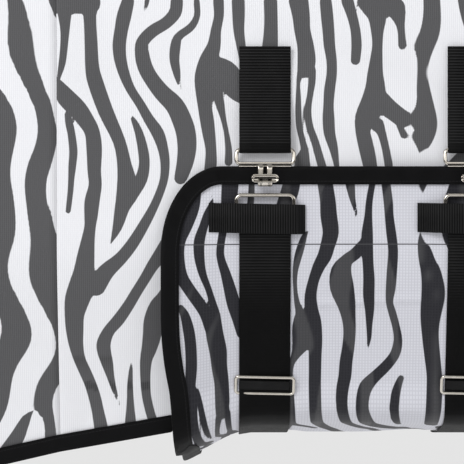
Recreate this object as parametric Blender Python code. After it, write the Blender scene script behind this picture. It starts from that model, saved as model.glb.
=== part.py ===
"""A horse's fly sheet as it hangs on the animal: two body panels, two chest panels, a belly flap that comes
up over the near side, a tail flap, and T-hook closures. Metres, +Z up. X runs from head (-X) to tail (+X).
The camera side of the horse, its near side, is -Y. The origin is under the wither pad, where the sheet rests."""

import math

import bmesh
import bpy
import numpy as np
from mathutils import Matrix, Vector

# The horse's outline under the sheet
HALF_WIDTH = 0.31            # half the barrel's width, even along the belly flap
TAPER = 0.185                # how fast the sides draw in beyond it, per metre squared
WITHERS_X = -0.085           # front end of the back seam
REAR_X = 1.315
CROUP_X = 0.615              # where the back starts to rise to the croup
RUMP_X = 0.965               # where it starts to fall to the tail
SHOULDER_X = 0.065           # where the sides start to turn in to the chest
CHEST_REACH = 0.52           # from the shoulder seam forward to the chest
CHEST_BOTTOM_OF_NECK = Vector((-0.41, 0.0, -0.42))
NECK_HALF_WIDTH = 0.17
WIDEST_Z = -0.37             # height of the widest line on the sides
CHEST_WIDEST_Z = -0.50
ROUNDNESS = 2.2              # exponent of the rounded sections
BACK_Z = 0.018               # the sheet's outside over the withers
HOLLOW = 0.048               # how far the back drops behind them
CROUP = 0.035                # how far it rises again
TAIL_FALL = 0.09
BACK_EASE = 0.30

# Cloth
CLOTH = 0.002
GAP = 0.0004
SEAM_GAP = 0.0008
BINDING_WIDTH = 0.0165
BINDING = 0.0012

# The belly flap and the hem behind it
FLAP_FRONT_X = 0.166
FLAP_REAR_X = 0.764
FLAP_TOP = -0.4785
FLAP_LIFT = 0.0022           # air between the side panel and the flap
CORNER_LONG = 0.0576
CORNER_TALL = 0.0816
FLAP_SEAM_Z = -0.54          # height of its sewn edge on the far side
LEAN_TOP = -0.53             # where the sides start to lean in
LEAN_LENGTH = 0.07
LEAN_SLOPE = 0.364
TUCK_TOP = -0.681            # where the flap starts to turn under the belly
TUCK_RADIUS = 0.045
UNDER_STEPS = 40
TUCK_ANGLE = math.radians(80)
LOOSE = 0.026                # how far the flap's free corner hangs off
LOOSE_LENGTH = 0.06
NARROWING = 0.019
HEM_AT_FLAP = -0.737
HEM_UNDER_FLAP = -0.660
FRONT_HEM_SLOPE = 0.18
FRONT_HEM_LOWEST = -0.790
REAR_HEM_SLOPE = 0.06

# Webbing and metal
WEBBING_WIDTH = 0.0495
WEBBING = 0.0015
ROD = 0.004                  # diameter of the ring rods
PLAY = 0.00025
RING_LONG = 0.059
RING_TALL = 0.018
RING_CORNER = 0.0026         # of the rod's centre line
STEM_WIDTH = 0.014
STEM = 0.0032
STEM_STANDOFF = 0.0098
T_LONG = 0.0255
T_TALL = 0.0078
T_THICK = 0.005
CURL_RADIUS = 0.0029
HOOK_REACH = 0.0317          # from the hinge rod to the centre of the curl
RING_GAP = 0.0439            # from the hook's rod to the loose ring's far rod
KEEPER_HEIGHT = 0.0279
KEEPER_LEFT = 0.054
KEEPER_RIGHT = 0.0386
KEEPER_LAP = 0.0056          # how far the keeper's top edge lies past the ring's near rod
SLIDER_LONG = 0.0597
SLIDER_TALL = 0.0205
SLIDER_ROD = 0.0034

# Where the closures are
BELLY_CLOSURES_X = (0.265, 0.465, 0.665)
HOOK_OVER_FLAP = 0.0008         # how far the hook ring's lower rod laps the flap's top edge
BELLY_HOOK_Z = FLAP_TOP + RING_TALL - HOOK_OVER_FLAP
UPPER_STRAP = 0.099
BELLY_SLIDER = 0.2250        # along the strap, from the hook's rod to the slider's way
BELLY_SLIDER_DOWN = 0.0074   # how far down that way the slider's middle is
CHEST_CLOSURES_Z = (-0.53, -0.67)
CHEST_HOOK_Y = -0.030
CHEST_STRAP = 0.085
CHEST_SLIDER = 0.115
CHEST_STRAP_END = 0.165
STRAP_STEP = 0.012           # between the points of a strap that follows the cloth

# Tail flap, pad and tapes
TAPE_WIDTH = 0.038
TAPE = 0.0016
TAPE_GAP = 0.006
TAIL_TAPE_LONG = 0.07
PAD_LONG = 0.12
PAD_HALF_WIDE = 0.045
PAD_THICK = 0.0105
TAIL_HALF_WIDTH = 0.14
TAIL_LENGTH = 0.42
TAIL_BOW = 0.03
TAIL_STANDOFF = 0.012

BLACK = (0.02, 0.02, 0.022)
PRINT = (0.62, 0.62, 0.64)
FLEECE = (0.75, 0.74, 0.70)
NICKEL = (0.62, 0.60, 0.56)


def clear_scene():
    for obj in list(bpy.data.objects):
        bpy.data.objects.remove(obj)


def material(name, colour, roughness, metallic=0.0):
    made = bpy.data.materials.new(name)
    made.use_nodes = True
    shader = made.node_tree.nodes["Principled BSDF"]
    shader.inputs["Base Color"].default_value = (*colour, 1.0)
    shader.inputs["Roughness"].default_value = roughness
    shader.inputs["Metallic"].default_value = metallic
    return made


def empty_at(name, place, parent=None):
    """A body's own empty, on its joint's axis."""
    made = bpy.data.objects.new(name, None)
    bpy.context.scene.collection.objects.link(made)
    made.location = place
    if parent is not None:
        bpy.context.view_layer.update()
        made.parent = parent
        made.matrix_parent_inverse = parent.matrix_world.inverted()
    return made


def object_from(name, bm, finish, parent):
    bmesh.ops.recalc_face_normals(bm, faces=bm.faces[:])
    mesh = bpy.data.meshes.new(name)
    bm.to_mesh(mesh)
    bm.free()
    mesh.materials.append(finish)
    made = bpy.data.objects.new(name, mesh)
    bpy.context.scene.collection.objects.link(made)
    if parent is not None:
        bpy.context.view_layer.update()
        made.parent = parent
        made.matrix_parent_inverse = parent.matrix_world.inverted()
    return made


def slab(name, outer, inner, finish, parent=None):
    """A closed solid between two grids of points, each a list of rows."""
    bm = bmesh.new()
    tops = [[bm.verts.new(p) for p in row] for row in outer]
    unders = [[bm.verts.new(p) for p in row] for row in inner]
    rows = len(tops)
    columns = len(tops[0])
    for i in range(rows - 1):
        for j in range(columns - 1):
            bm.faces.new((tops[i][j], tops[i][j + 1], tops[i + 1][j + 1], tops[i + 1][j]))
            bm.faces.new((unders[i][j], unders[i + 1][j], unders[i + 1][j + 1], unders[i][j + 1]))
    rim = [(0, j) for j in range(columns)]
    rim += [(i, columns - 1) for i in range(1, rows)]
    rim += [(rows - 1, j) for j in range(columns - 2, -1, -1)]
    rim += [(i, 0) for i in range(rows - 2, 0, -1)]
    for (i, j), (k, m) in zip(rim, rim[1:] + rim[:1]):
        bm.faces.new((tops[i][j], unders[i][j], unders[k][m], tops[k][m]))
    return object_from(name, bm, finish, parent)


def smooth(t):
    t = min(max(t, 0.0), 1.0)
    return t * t * (3 - 2 * t)


# ---- The outline of the sheet's outside ----

def half_width(x):
    middle = (FLAP_FRONT_X + FLAP_REAR_X) / 2
    beyond = max(abs(x - middle) - (FLAP_REAR_X - middle + 0.03), 0.0)
    return HALF_WIDTH - TAPER * beyond ** 2


def back_z(x):
    """The line of the back: withers, hollow back, croup, and down to the tail."""
    hollow = HOLLOW * smooth((x - SHOULDER_X) / BACK_EASE)
    croup = CROUP * smooth((x - CROUP_X) / BACK_EASE)
    tail = TAIL_FALL * smooth((x - RUMP_X) / (REAR_X + 0.2 - RUMP_X))
    return BACK_Z - hollow + croup - tail


def lean_slope(z):
    """How fast the side draws in per metre down, at that height."""
    return LEAN_SLOPE * min(max((LEAN_TOP - z) / LEAN_LENGTH, 0.0), 1.0)


def inset(z):
    """How far the side has drawn in at that height."""
    down = max(LEAN_TOP - z, 0.0)
    bend = min(down, LEAN_LENGTH)
    return LEAN_SLOPE * (bend * bend / (2 * LEAN_LENGTH) + max(down - LEAN_LENGTH, 0.0))


def hem_z(x):
    """The lower edge of a side: low at the chest, raised behind the flap, lower again to the tail."""
    front = max(HEM_AT_FLAP + FRONT_HEM_SLOPE * min(x - FLAP_FRONT_X, 0.0), FRONT_HEM_LOWEST)
    free = front - REAR_HEM_SLOPE * max(x - FLAP_REAR_X, 0.0)
    behind = smooth((x - FLAP_FRONT_X - 0.004) / 0.05) * smooth((FLAP_REAR_X - 0.004 - x) / 0.05)
    return free + (HEM_UNDER_FLAP - free) * behind


def rounded(turn):
    """(share outwards, share down) of a rounded section, turn running from 0 at the top to 1 at the side."""
    angle = turn * math.pi / 2
    power = 2 / ROUNDNESS
    return math.sin(angle) ** power, 1 - max(math.cos(angle), 0.0) ** power


def body_point(along, down, y_gap=0.0):
    """A point on the near body panel. along is the height's own x at the side; down is 0 at the back seam,
    1 at the widest line and 2 at the hem."""
    share = (REAR_X - along) / (REAR_X - SHOULDER_X)
    top_x = REAR_X + (WITHERS_X - REAR_X) * share
    if down <= 1:
        out, drop = rounded(down)
        x = top_x + (along - top_x) * out
        top = back_z(top_x)
        return Vector((x, -y_gap - (half_width(along) - y_gap) * out, top + (WIDEST_Z - top) * drop))
    z = WIDEST_Z + (hem_z(along) - WIDEST_Z) * (down - 1)
    return Vector((along, -(half_width(along) - inset(z)), z))


def chest_outline(turn, z):
    """The plan of the shoulder and chest: turn is 0 at the shoulder seam and 1 at the front."""
    angle = turn * math.pi / 2
    power = 2 / ROUNDNESS
    wide = half_width(SHOULDER_X)
    x = SHOULDER_X - CHEST_REACH * math.sin(angle) ** power
    y = -wide * max(math.cos(angle), 0.0) ** power
    inward = Vector((SHOULDER_X - x, -y, 0.0)).normalized()
    return Vector((x, y, z)) + inward * inset(z) * max(math.cos(angle), 0.0) ** 4


def chest_point(turn, down, y_gap=0.0):
    """A point on the near chest panel. turn is 0 at the shoulder seam, 1 at the front; down as on the body."""
    angle = turn * math.pi
    start = Vector((WITHERS_X, 0.0, back_z(WITHERS_X)))
    neck = start.lerp(CHEST_BOTTOM_OF_NECK, (1 - math.cos(angle)) / 2)
    neck.y = -NECK_HALF_WIDTH * math.sin(angle)
    widest = WIDEST_Z + (CHEST_WIDEST_Z - WIDEST_Z) * smooth(turn)
    if down <= 1:
        out, drop = rounded(down)
        side = chest_outline(turn, widest)
        point = Vector((neck.x + (side.x - neck.x) * out, neck.y + (side.y - neck.y) * out, 0.0))
        point.z = neck.z + (widest - neck.z) * drop
    else:
        plan = chest_outline(turn, widest)
        z = widest + (hem_z(plan.x) - widest) * (down - 1)
        point = chest_outline(turn, z)
    point.y = min(point.y, -y_gap)
    return point


def lifted(surface, u, v, lift, y_gap=0.0, u_range=(0.0, 1.0)):
    """A point that far outside the surface, along its normal."""
    step = 0.004
    low, high = max(u - step, u_range[0]), min(u + step, u_range[1])
    v_near = min(max(v, 2.5 * step), 2 - step)
    here = surface(u, v, y_gap)
    along = surface(high, v_near) - surface(low, v_near)
    down = surface(u, v_near + step) - surface(u, v_near - step)
    normal = along.cross(down).normalized()
    core = Vector((min(max(here.x, SHOULDER_X), REAR_X), 0.0, WIDEST_Z))
    if normal.dot(here - core) < 0:
        normal.negate()
    point = here + normal * lift
    point.y = min(point.y, -y_gap)
    return point


def body_lifted(along, down, lift, y_gap=0.0):
    return lifted(body_point, along, down, lift, y_gap, (SHOULDER_X, REAR_X))


def chest_lifted(turn, down, lift, y_gap=0.0):
    return lifted(chest_point, turn, down, lift, y_gap)


def hem_share(hem, widest, height):
    """The down value of a point that far above the hem."""
    return 2 - height / (widest - hem)


# ---- The belly flap's outline ----

def belly_section():
    """(y, z, lean) down the near side from the flap's top edge, under the belly and up to the far seam."""
    step = 0.002
    y, z, lean = -HALF_WIDTH, FLAP_TOP, 0.0
    rows = []
    while z > TUCK_TOP:
        rows.append((y, z, lean))
        lean = math.atan(lean_slope(z))
        y += math.sin(lean) * step
        z -= math.cos(lean) * step
    while lean < TUCK_ANGLE:
        rows.append((y, z, lean))
        lean += step / TUCK_RADIUS
        y += math.sin(lean) * step
        z -= math.cos(lean) * step
    radius = -y / math.cos(lean)
    turn = (math.pi / 2 - lean) / UNDER_STEPS
    for _ in range(UNDER_STEPS):
        rows.append((y, z, lean))
        lean += turn
        y += math.sin(lean - turn / 2) * radius * turn
        z -= math.cos(lean - turn / 2) * radius * turn
    far = [(-y, z, math.pi - lean) for y, z, lean in reversed(rows) if z <= FLAP_SEAM_Z]
    return np.array(rows + [(0.0, z, math.pi / 2)] + far)


SECTION = belly_section()
SECTION_STEPS = np.hypot(np.diff(SECTION[:, 0]), np.diff(SECTION[:, 1]))
SECTION_LENGTHS = np.concatenate([[0.0], np.cumsum(SECTION_STEPS)])
FLAP_LENGTH = float(SECTION_LENGTHS[-1])


def section_at(length):
    return [float(np.interp(length, SECTION_LENGTHS, SECTION[:, k])) for k in range(3)]


def flap_inset_x(length):
    """How far the flap's front and rear edges are from its widest, at that distance from its top edge."""
    corner = 0.0
    if length < CORNER_TALL:
        corner = CORNER_LONG * (1 - math.sqrt(1 - (1 - length / CORNER_TALL) ** 2))
    y, z, lean = section_at(length)
    low = 1.0 if lean >= TUCK_ANGLE else smooth(max(-0.60 - z, 0.0) / 0.157) ** 1.5
    return corner + NARROWING * low


def flap_looseness(x, length):
    """How far the flap's free front and rear edges hang off the horse."""
    y, z, lean = section_at(length)
    edge = min(x - FLAP_FRONT_X, FLAP_REAR_X - x)
    near_edge = 1 - smooth(edge / LOOSE_LENGTH)
    low = smooth((FLAP_TOP - 0.02 - z) / 0.17)
    if lean > math.pi / 2:
        low = smooth((FLAP_LENGTH - length) / 0.25)
    return LOOSE * near_edge * low


def flap_point(x, length, lift):
    """A point on the flap that far from its top edge, and that far outside the side panel."""
    y, z, lean = section_at(length)
    out = lift + flap_looseness(x, length)
    return Vector((x, y - math.cos(lean) * out, z - math.sin(lean) * out))


# ---- Straps and metal ----

def strip(name, centres, acrosses, width, thick, finish, parent=None):
    """A band of webbing or tape along the centres, each with its own direction across."""
    outer, inner = [], []
    for i, centre in enumerate(centres):
        before, after = centres[max(i - 1, 0)], centres[min(i + 1, len(centres) - 1)]
        normal = (after - before).cross(acrosses[i]).normalized()
        side = acrosses[i] * (width / 2)
        outer.append([centre - side + normal * (thick / 2), centre + side + normal * (thick / 2)])
        inner.append([centre - side - normal * (thick / 2), centre + side - normal * (thick / 2)])
    return slab(name, outer, inner, finish, parent)


def strap_on(place, name, path, width, thick, finish, parent=None):
    """A strap through (along, lift) points of a closure's own place function."""
    centres = [place(s, 0.0, n) for s, n in path]
    acrosses = [(place(s, 0.01, n) - place(s, -0.01, n)).normalized() for s, n in path]
    return strip(name, centres, acrosses, width, thick, finish, parent)


def fold_round_rod(rod_s, rod_n, towards, back_end):
    """The path of webbing that comes up the back, folds round a rod and is ready to run on in front."""
    radius = ROD / 2 + PLAY + WEBBING / 2
    path = flat_run(back_end, rod_s, rod_n - radius)[:-1]
    for k in range(7):
        turn = math.pi * k / 6
        path.append((rod_s + towards * radius * math.sin(turn), rod_n - radius * math.cos(turn)))
    return path


def flat_run(start, end, lift):
    """Path points of a strap lying flat on the cloth."""
    count = max(round(abs(end - start) / STRAP_STEP), 1)
    return [(start + (end - start) * k / count, lift) for k in range(count + 1)]


def frame_at(place, s):
    """The matrix that carries a fitting's own (across, out, along) axes to that point of the strap."""
    origin = place(s, 0.0, 0.0)
    along = (place(s + 0.002, 0.0, 0.0) - place(s - 0.002, 0.0, 0.0)).normalized()
    out = (place(s, 0.0, 0.01) - origin).normalized()
    out = (out - along * out.dot(along)).normalized()
    across = out.cross(along)
    made = Matrix((across, out, along)).transposed().to_4x4()
    made.translation = origin
    return made


def rod_loop(bm, long, tall, rod, centre_s, n_at, corner=RING_CORNER):
    """A closed ring of round rod, lying across the strap. n_at gives its lift at each place along."""
    half_l, half_t = long / 2 - rod / 2 - corner, tall / 2 - rod / 2 - corner
    rings = []
    for quarter, (sx, sy) in enumerate(((1, 1), (-1, 1), (-1, -1), (1, -1))):
        for k in range(4):
            angle = (quarter + k / 3) * math.pi / 2
            outward = Vector((math.cos(angle), 0.0, math.sin(angle)))
            centre = Vector((sx * half_l, 0.0, sy * half_t + centre_s)) + outward * corner
            centre.y = n_at(centre.z)
            ring = []
            for j in range(6):
                turn = math.pi * 2 * j / 6
                spread = outward * math.cos(turn) + Vector((0, 1, 0)) * math.sin(turn)
                ring.append(bm.verts.new(centre + spread * (rod / 2)))
            rings.append(ring)
    for i, ring in enumerate(rings):
        after = rings[(i + 1) % len(rings)]
        for j in range(6):
            k = (j + 1) % 6
            bm.faces.new((ring[j], ring[k], after[k], after[j]))


def join_to(obj, other):
    """Welds another shape onto obj. The other one is only a tool."""
    other.hide_render = True
    other.display_type = "WIRE"
    union = obj.modifiers.new("join_" + other.name, "BOOLEAN")
    union.operation = "UNION"
    union.solver = "EXACT"
    union.object = other


def bevelled_block(name, centre, size, bevel, carry, finish, parent=None):
    bm = bmesh.new()
    bmesh.ops.create_cube(bm, size=1.0)
    bmesh.ops.scale(bm, vec=size, verts=bm.verts[:])
    bmesh.ops.bevel(bm, geom=bm.edges[:], offset=bevel, segments=2, affect="EDGES")
    bmesh.ops.translate(bm, vec=centre, verts=bm.verts[:])
    bmesh.ops.transform(bm, matrix=carry, verts=bm.verts[:])
    return object_from(name, bm, finish, parent)


def make_t_hook(name, place, rod_n, parent, finish):
    """A cast hook: a ring for the webbing, and a stem that curls forward and ends in a cross bar."""
    carry = frame_at(place, 0.0)
    low_rod = RING_TALL - ROD
    slant = 0.0024
    bm = bmesh.new()
    rod_loop(bm, RING_LONG, RING_TALL, ROD, low_rod / 2, lambda s: rod_n + slant * s / low_rod)
    bmesh.ops.transform(bm, matrix=carry, verts=bm.verts[:])
    hook = object_from(name, bm, finish, parent)
    path = [(low_rod - 0.0004, rod_n + slant), (0.0195, STEM_STANDOFF)]
    for k in range(7):
        turn = math.pi * k / 6
        path.append((
            HOOK_REACH + CURL_RADIUS * math.sin(turn),
            STEM_STANDOFF + CURL_RADIUS * (1 - math.cos(turn)),
        ))
    bar_s = HOOK_REACH - T_TALL / 2 + 0.0003
    path.append((bar_s, STEM_STANDOFF + 2 * CURL_RADIUS))
    points = [carry @ Vector((0.0, n, s)) for s, n in path]
    across = [carry.to_3x3() @ Vector((1, 0, 0))] * len(points)
    join_to(hook, strip(name + "_stem_tool", points, across, STEM_WIDTH, STEM, finish))
    bar_centre = (0.0, STEM_STANDOFF + 2 * CURL_RADIUS + 0.0004, bar_s)
    bar_size = (T_LONG, T_THICK, T_TALL)
    join_to(hook, bevelled_block(name + "_bar_tool", bar_centre, bar_size, 0.0016, carry, finish))
    return hook


def make_ring(name, place, rod_s, rod_n, parent, finish):
    """A plain oblong ring, hanging in the loose strap's end."""
    bm = bmesh.new()
    reach = RING_TALL - ROD
    rod_loop(bm, RING_LONG, RING_TALL, ROD, -reach / 2, lambda s: rod_n)
    bmesh.ops.transform(bm, matrix=frame_at(place, rod_s), verts=bm.verts[:])
    return object_from(name, bm, finish, parent)


def make_slider(name, carry, rod_n, parent, finish):
    """A strap slider: a rod frame with a flat bar across its middle."""
    bm = bmesh.new()
    rod_loop(bm, SLIDER_LONG, SLIDER_TALL, SLIDER_ROD, 0.0, lambda s: rod_n, 0.003)
    bmesh.ops.transform(bm, matrix=carry, verts=bm.verts[:])
    slider = object_from(name, bm, finish, parent)
    size = (SLIDER_LONG - SLIDER_ROD, SLIDER_ROD * 0.6, SLIDER_ROD)
    join_to(slider, bevelled_block(name + "_bar_tool", (0, rod_n, 0), size, 0.0004, carry, finish))
    return slider


def keeper_path(base):
    low = base + 2 * GAP + BINDING / 2
    high = base + 2 * (ROD / 2 + PLAY + WEBBING) + 2 * GAP + BINDING / 2
    reach = RING_LONG / 2 + 0.0015
    return [
        (-KEEPER_LEFT, low), (-KEEPER_LEFT + 0.008, low), (-reach - 0.004, high - 0.0005), (-reach + 0.002, high),
        (0.0, high), (reach - 0.001, high), (KEEPER_RIGHT - 0.0028, low), (KEEPER_RIGHT, low),
    ]


def make_closure(tag, place, hook_base, ring_base, strap_back, strap_end, slider_s, slider_down,
                 hook_body, ring_body, make_body, finishes):
    """One closure: sewn strap and T-hook on one side; ring, keeper, slider and strap on the other."""
    black, nickel = finishes
    fold = ROD / 2 + PLAY + WEBBING / 2
    hook_n = hook_base + GAP + WEBBING / 2 + fold
    ring_n = ring_base + GAP + WEBBING / 2 + fold
    flat_n = hook_base + GAP + WEBBING / 2
    back = min(0.04, strap_back * 0.45)
    path = fold_round_rod(0.0, hook_n, 1, -back)
    path += [(-0.012, hook_n + fold - 0.0006), (-back - 0.001, flat_n + WEBBING + GAP)]
    path += flat_run(-back - 0.012, -strap_back, flat_n)
    strap_on(place, tag + "_hook_strap", path, WEBBING_WIDTH, WEBBING, black, hook_body)

    rod_s = RING_GAP + RING_TALL - ROD
    low_n = ring_base + GAP + WEBBING / 2
    back = rod_s + 0.022
    path = fold_round_rod(rod_s, ring_n, -1, back)
    path += [(rod_s + 0.008, ring_n + fold - 0.001), (back + 0.002, low_n + WEBBING + GAP)]
    path += flat_run(back + 0.012, strap_end, low_n + GAP)
    strap_on(place, tag + "_ring_strap", path, WEBBING_WIDTH, WEBBING, black, ring_body)

    middle = rod_s - KEEPER_LAP + KEEPER_HEIGHT / 2
    route = keeper_path(ring_base)
    centres = [place(middle, w, n) for w, n in route]
    half = KEEPER_HEIGHT / 2
    along = [(place(middle + half, w, n) - place(middle - half, w, n)).normalized() for w, n in route]
    strip(tag + "_keeper", centres, along, KEEPER_HEIGHT, BINDING, black, ring_body)

    hook_pivot = make_body(tag + "_hook_pivot", place(0.0, 0.0, hook_n), hook_body)
    make_t_hook(tag + "_t_hook", place, hook_n, hook_pivot, nickel)
    ring_pivot = make_body(tag + "_ring_pivot", place(rod_s, 0.0, ring_n), ring_body)
    make_ring(tag + "_ring", place, rod_s, ring_n, ring_pivot, nickel)
    carry = frame_at(place, slider_s) @ Matrix.Translation((0, 0, slider_down))
    slider_way = make_body(tag + "_slider_way", carry.translation, ring_body)
    slider_n = ring_base + GAP + WEBBING + PLAY + SLIDER_ROD / 2
    make_slider(tag + "_slider", carry, slider_n, slider_way, nickel)


def belly_place(x):
    """The place function of a belly closure: straight down the side panel, then along the flap."""
    def place(s, w, n):
        length = s - (BELLY_HOOK_Z - FLAP_TOP)
        if length <= 0:
            return Vector((x + w, -HALF_WIDTH - n, BELLY_HOOK_Z - s))
        return flap_point(x + w, length, n)
    return place


def chest_place(z):
    """The place function of a chest closure: across the chest from the near side to the far side."""
    wide = half_width(SHOULDER_X)

    def outline(y):
        share = (1 - (abs(y) / wide) ** ROUNDNESS) ** (1 / ROUNDNESS)
        return Vector((SHOULDER_X - CHEST_REACH * share, y, 0.0))

    def place(s, w, n):
        y = CHEST_HOOK_Y + s
        along = outline(y + 0.003) - outline(y - 0.003)
        out = Vector((-along.y, along.x, 0.0)).normalized()
        return outline(y) + out * n + Vector((0, 0, z - w))
    return place


# ---- The cloth ----

def body_stations():
    """The places along the side where the body panels have points, from the rear edge to the shoulder seam."""
    behind = FLAP_REAR_X + 0.036
    middle = (FLAP_FRONT_X + FLAP_REAR_X) / 2
    rear = [REAR_X - TAIL_TAPE_LONG + (behind - REAR_X + TAIL_TAPE_LONG) * k / 5 for k in range(5)]
    flap_end = [FLAP_REAR_X + step for step in (0.036, 0.001, -0.024, -0.049)]
    flap_start = [FLAP_FRONT_X + step for step in (0.049, 0.024, -0.001, -0.036)]
    half = [flap_end[-1] + (middle - flap_end[-1]) * k / 2 for k in (1, 2)]
    other_half = [middle + (flap_start[0] - middle) * k / 2 for k in (1,)]
    front = [flap_start[-1] + (SHOULDER_X - flap_start[-1]) * k / 2 for k in (1, 2)]
    return [REAR_X] + rear + flap_end + half + other_half + flap_start + front


BODY_STATIONS = body_stations()
UPPER_STATIONS = (0.0, 0.08, 0.2, 0.34, 0.5, 0.66, 0.82, 1.0)
LOWER_STATIONS = (1.25, 1.5, 1.62, 1.75, 1.87, 2.0)
CHEST_TURNS = tuple(k / 10 for k in range(11))


def mirrored(grid):
    return [[Vector((p.x, -p.y, p.z)) for p in row] for row in grid]


def both_sides(name, outer, inner, finish, parent):
    slab("near_" + name, outer, inner, finish, parent)
    slab("far_" + name, mirrored(outer), mirrored(inner), finish, parent)


def make_panels(cloth, parent):
    downs = UPPER_STATIONS + LOWER_STATIONS
    body = [[[body_lifted(x, d, lift, GAP / 2) for d in downs] for x in BODY_STATIONS] for lift in (0, -CLOTH)]
    both_sides("body_panel", *body, cloth, parent)
    first = SEAM_GAP / 0.5
    turns = (first,) + CHEST_TURNS[1:]
    chest = [[[chest_lifted(t, d, lift, GAP / 2) for d in downs] for t in turns] for lift in (0, -CLOTH)]
    both_sides("chest_panel", *chest, cloth, parent)


def make_edge_bindings(black, parent):
    """Tape along the hem, the rear edge, the chest edge, the neckline and the shoulder seam of both sides."""
    lifts = (GAP + BINDING, GAP)
    hem = []
    for lift in lifts:
        rows = []
        for x in BODY_STATIONS:
            top = hem_share(hem_z(x), WIDEST_Z, BINDING_WIDTH)
            rows.append([body_lifted(x, 2.0, lift), body_lifted(x, top, lift)])
        for t in CHEST_TURNS[1:]:
            widest = WIDEST_Z + (CHEST_WIDEST_Z - WIDEST_Z) * smooth(t)
            top = hem_share(hem_z(chest_point(t, 1.0).x), widest, BINDING_WIDTH)
            clear = lift + 3 * GAP * math.sin(math.pi * t)
            rows.append([chest_lifted(t, 2.0, clear, GAP), chest_lifted(t, top, clear, GAP)])
        hem.append(rows)
    both_sides("hem_binding", *hem, black, parent)
    downs = (0.42, 0.5, 0.66, 0.82, 1.0, 1.25, 1.5, 1.62, 1.75, 1.87, 1.94)
    rear = [[[body_lifted(REAR_X - w, d, lift) for w in (0, BINDING_WIDTH)] for d in downs] for lift in lifts]
    both_sides("rear_binding", *rear, black, parent)
    edge = chest_turn_at(BINDING_WIDTH)
    downs = (0.34, 0.5, 0.66, 0.82, 1.0, 1.25, 1.5, 1.75, 1.92)
    chest = [[[chest_lifted(t, d, lift, GAP) for t in (1.0, edge)] for d in downs] for lift in lifts]
    both_sides("chest_edge_binding", *chest, black, parent)
    turns = (0.05,) + CHEST_TURNS[1:]
    under = [[chest_lifted(t, d, 5 * GAP, GAP) for d in (0.0, neck_binding_share(t) / 2, neck_binding_share(t))]
             for t in turns]
    both_sides("neck_binding", thickened(under, BINDING), under, black, parent)


def thickened(rows, thickness):
    """The same grid of points moved out by the thickness, square to the strip at each point."""
    moved = []
    for i, row in enumerate(rows):
        along = rows[min(i + 1, len(rows) - 1)], rows[max(i - 1, 0)]
        across = (row[-1] - row[0]).normalized()
        moved.append([])
        for j, point in enumerate(row):
            out = (along[0][j] - along[1][j]).cross(across).normalized()
            place = point + out * thickness
            moved[-1].append(Vector((place.x, min(place.y, -GAP), place.z)))
    return moved


def chest_turn_at(y):
    """The turn at which the chest's outline is that far from the middle."""
    return math.acos((y / half_width(SHOULDER_X)) ** (ROUNDNESS / 2)) * 2 / math.pi


def neck_binding_share(turn):
    """The down value at which the neck binding is as wide as the tape."""
    low = 0.0
    start = chest_point(turn, 0.0)
    while (chest_point(turn, low) - start).length < BINDING_WIDTH and low < 0.6:
        low += 0.005
    return low


def make_back_tape(black, parent):
    """The tape over the back seam, from behind the withers to the rump."""
    tops = BODY_STATIONS[1:]
    rows = []
    for x in tops:
        p = body_point(x, 0.0)
        rows.append([Vector((p.x, y, p.z)) for y in (-TAPE_WIDTH / 2, TAPE_WIDTH / 2)])
    rise = Vector((0, 0, GAP * 2))
    thick = Vector((0, 0, TAPE))
    outer = [[p + rise + thick for p in row] for row in rows]
    inner = [[p + rise for p in row] for row in rows]
    slab("back_tape", outer, inner, black, parent)


def make_wither_pad(fleece, parent):
    size = (PAD_LONG, 2 * PAD_HALF_WIDE, PAD_THICK)
    centre = (0.0, 0.0, PAD_THICK / 2)
    bevelled_block("wither_pad", centre, size, 0.0035, Matrix.Identity(4), fleece, parent)


def make_flap_seam_tape(black, parent):
    """The tape that sews the flap's far edge to the far body panel."""
    centres = []
    for k in range(9):
        x = FLAP_FRONT_X + NARROWING + (FLAP_REAR_X - FLAP_FRONT_X - 2 * NARROWING) * k / 8
        centres.append(Vector((x, HALF_WIDTH + GAP + BINDING, FLAP_SEAM_Z + 0.006 + BINDING_WIDTH / 2)))
    across = [Vector((0, 0, 1))] * len(centres)
    strip("flap_seam_tape", centres, across, BINDING_WIDTH, BINDING, black, parent)


FLAP_NEAR_ROWS = (0.0, 0.002, 0.006, 0.012, 0.022, 0.036, 0.055, CORNER_TALL, 0.105, 0.13, 0.16, 0.19, 0.2115)
FLAP_TUCK_ROWS = (0.2235, 0.2355, 0.2475, 0.2595)


def flap_rows():
    """Distances from the flap's top edge: the near side and its turn under the belly, then the same back."""
    rows = list(FLAP_NEAR_ROWS) + list(FLAP_TUCK_ROWS)
    middle = float(np.interp(0.0, SECTION[:, 0], SECTION_LENGTHS))
    rows += [rows[-1] + (middle - rows[-1]) * k / 4 for k in range(1, 5)]
    near = [r for r in rows if middle - r > 0.001]
    return near + [middle] + [2 * middle - r for r in reversed(near) if 2 * middle - r < FLAP_LENGTH - 0.01] + [FLAP_LENGTH]


def flap_edges(length):
    inward = flap_inset_x(length)
    return FLAP_FRONT_X + inward, FLAP_REAR_X - inward


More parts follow.
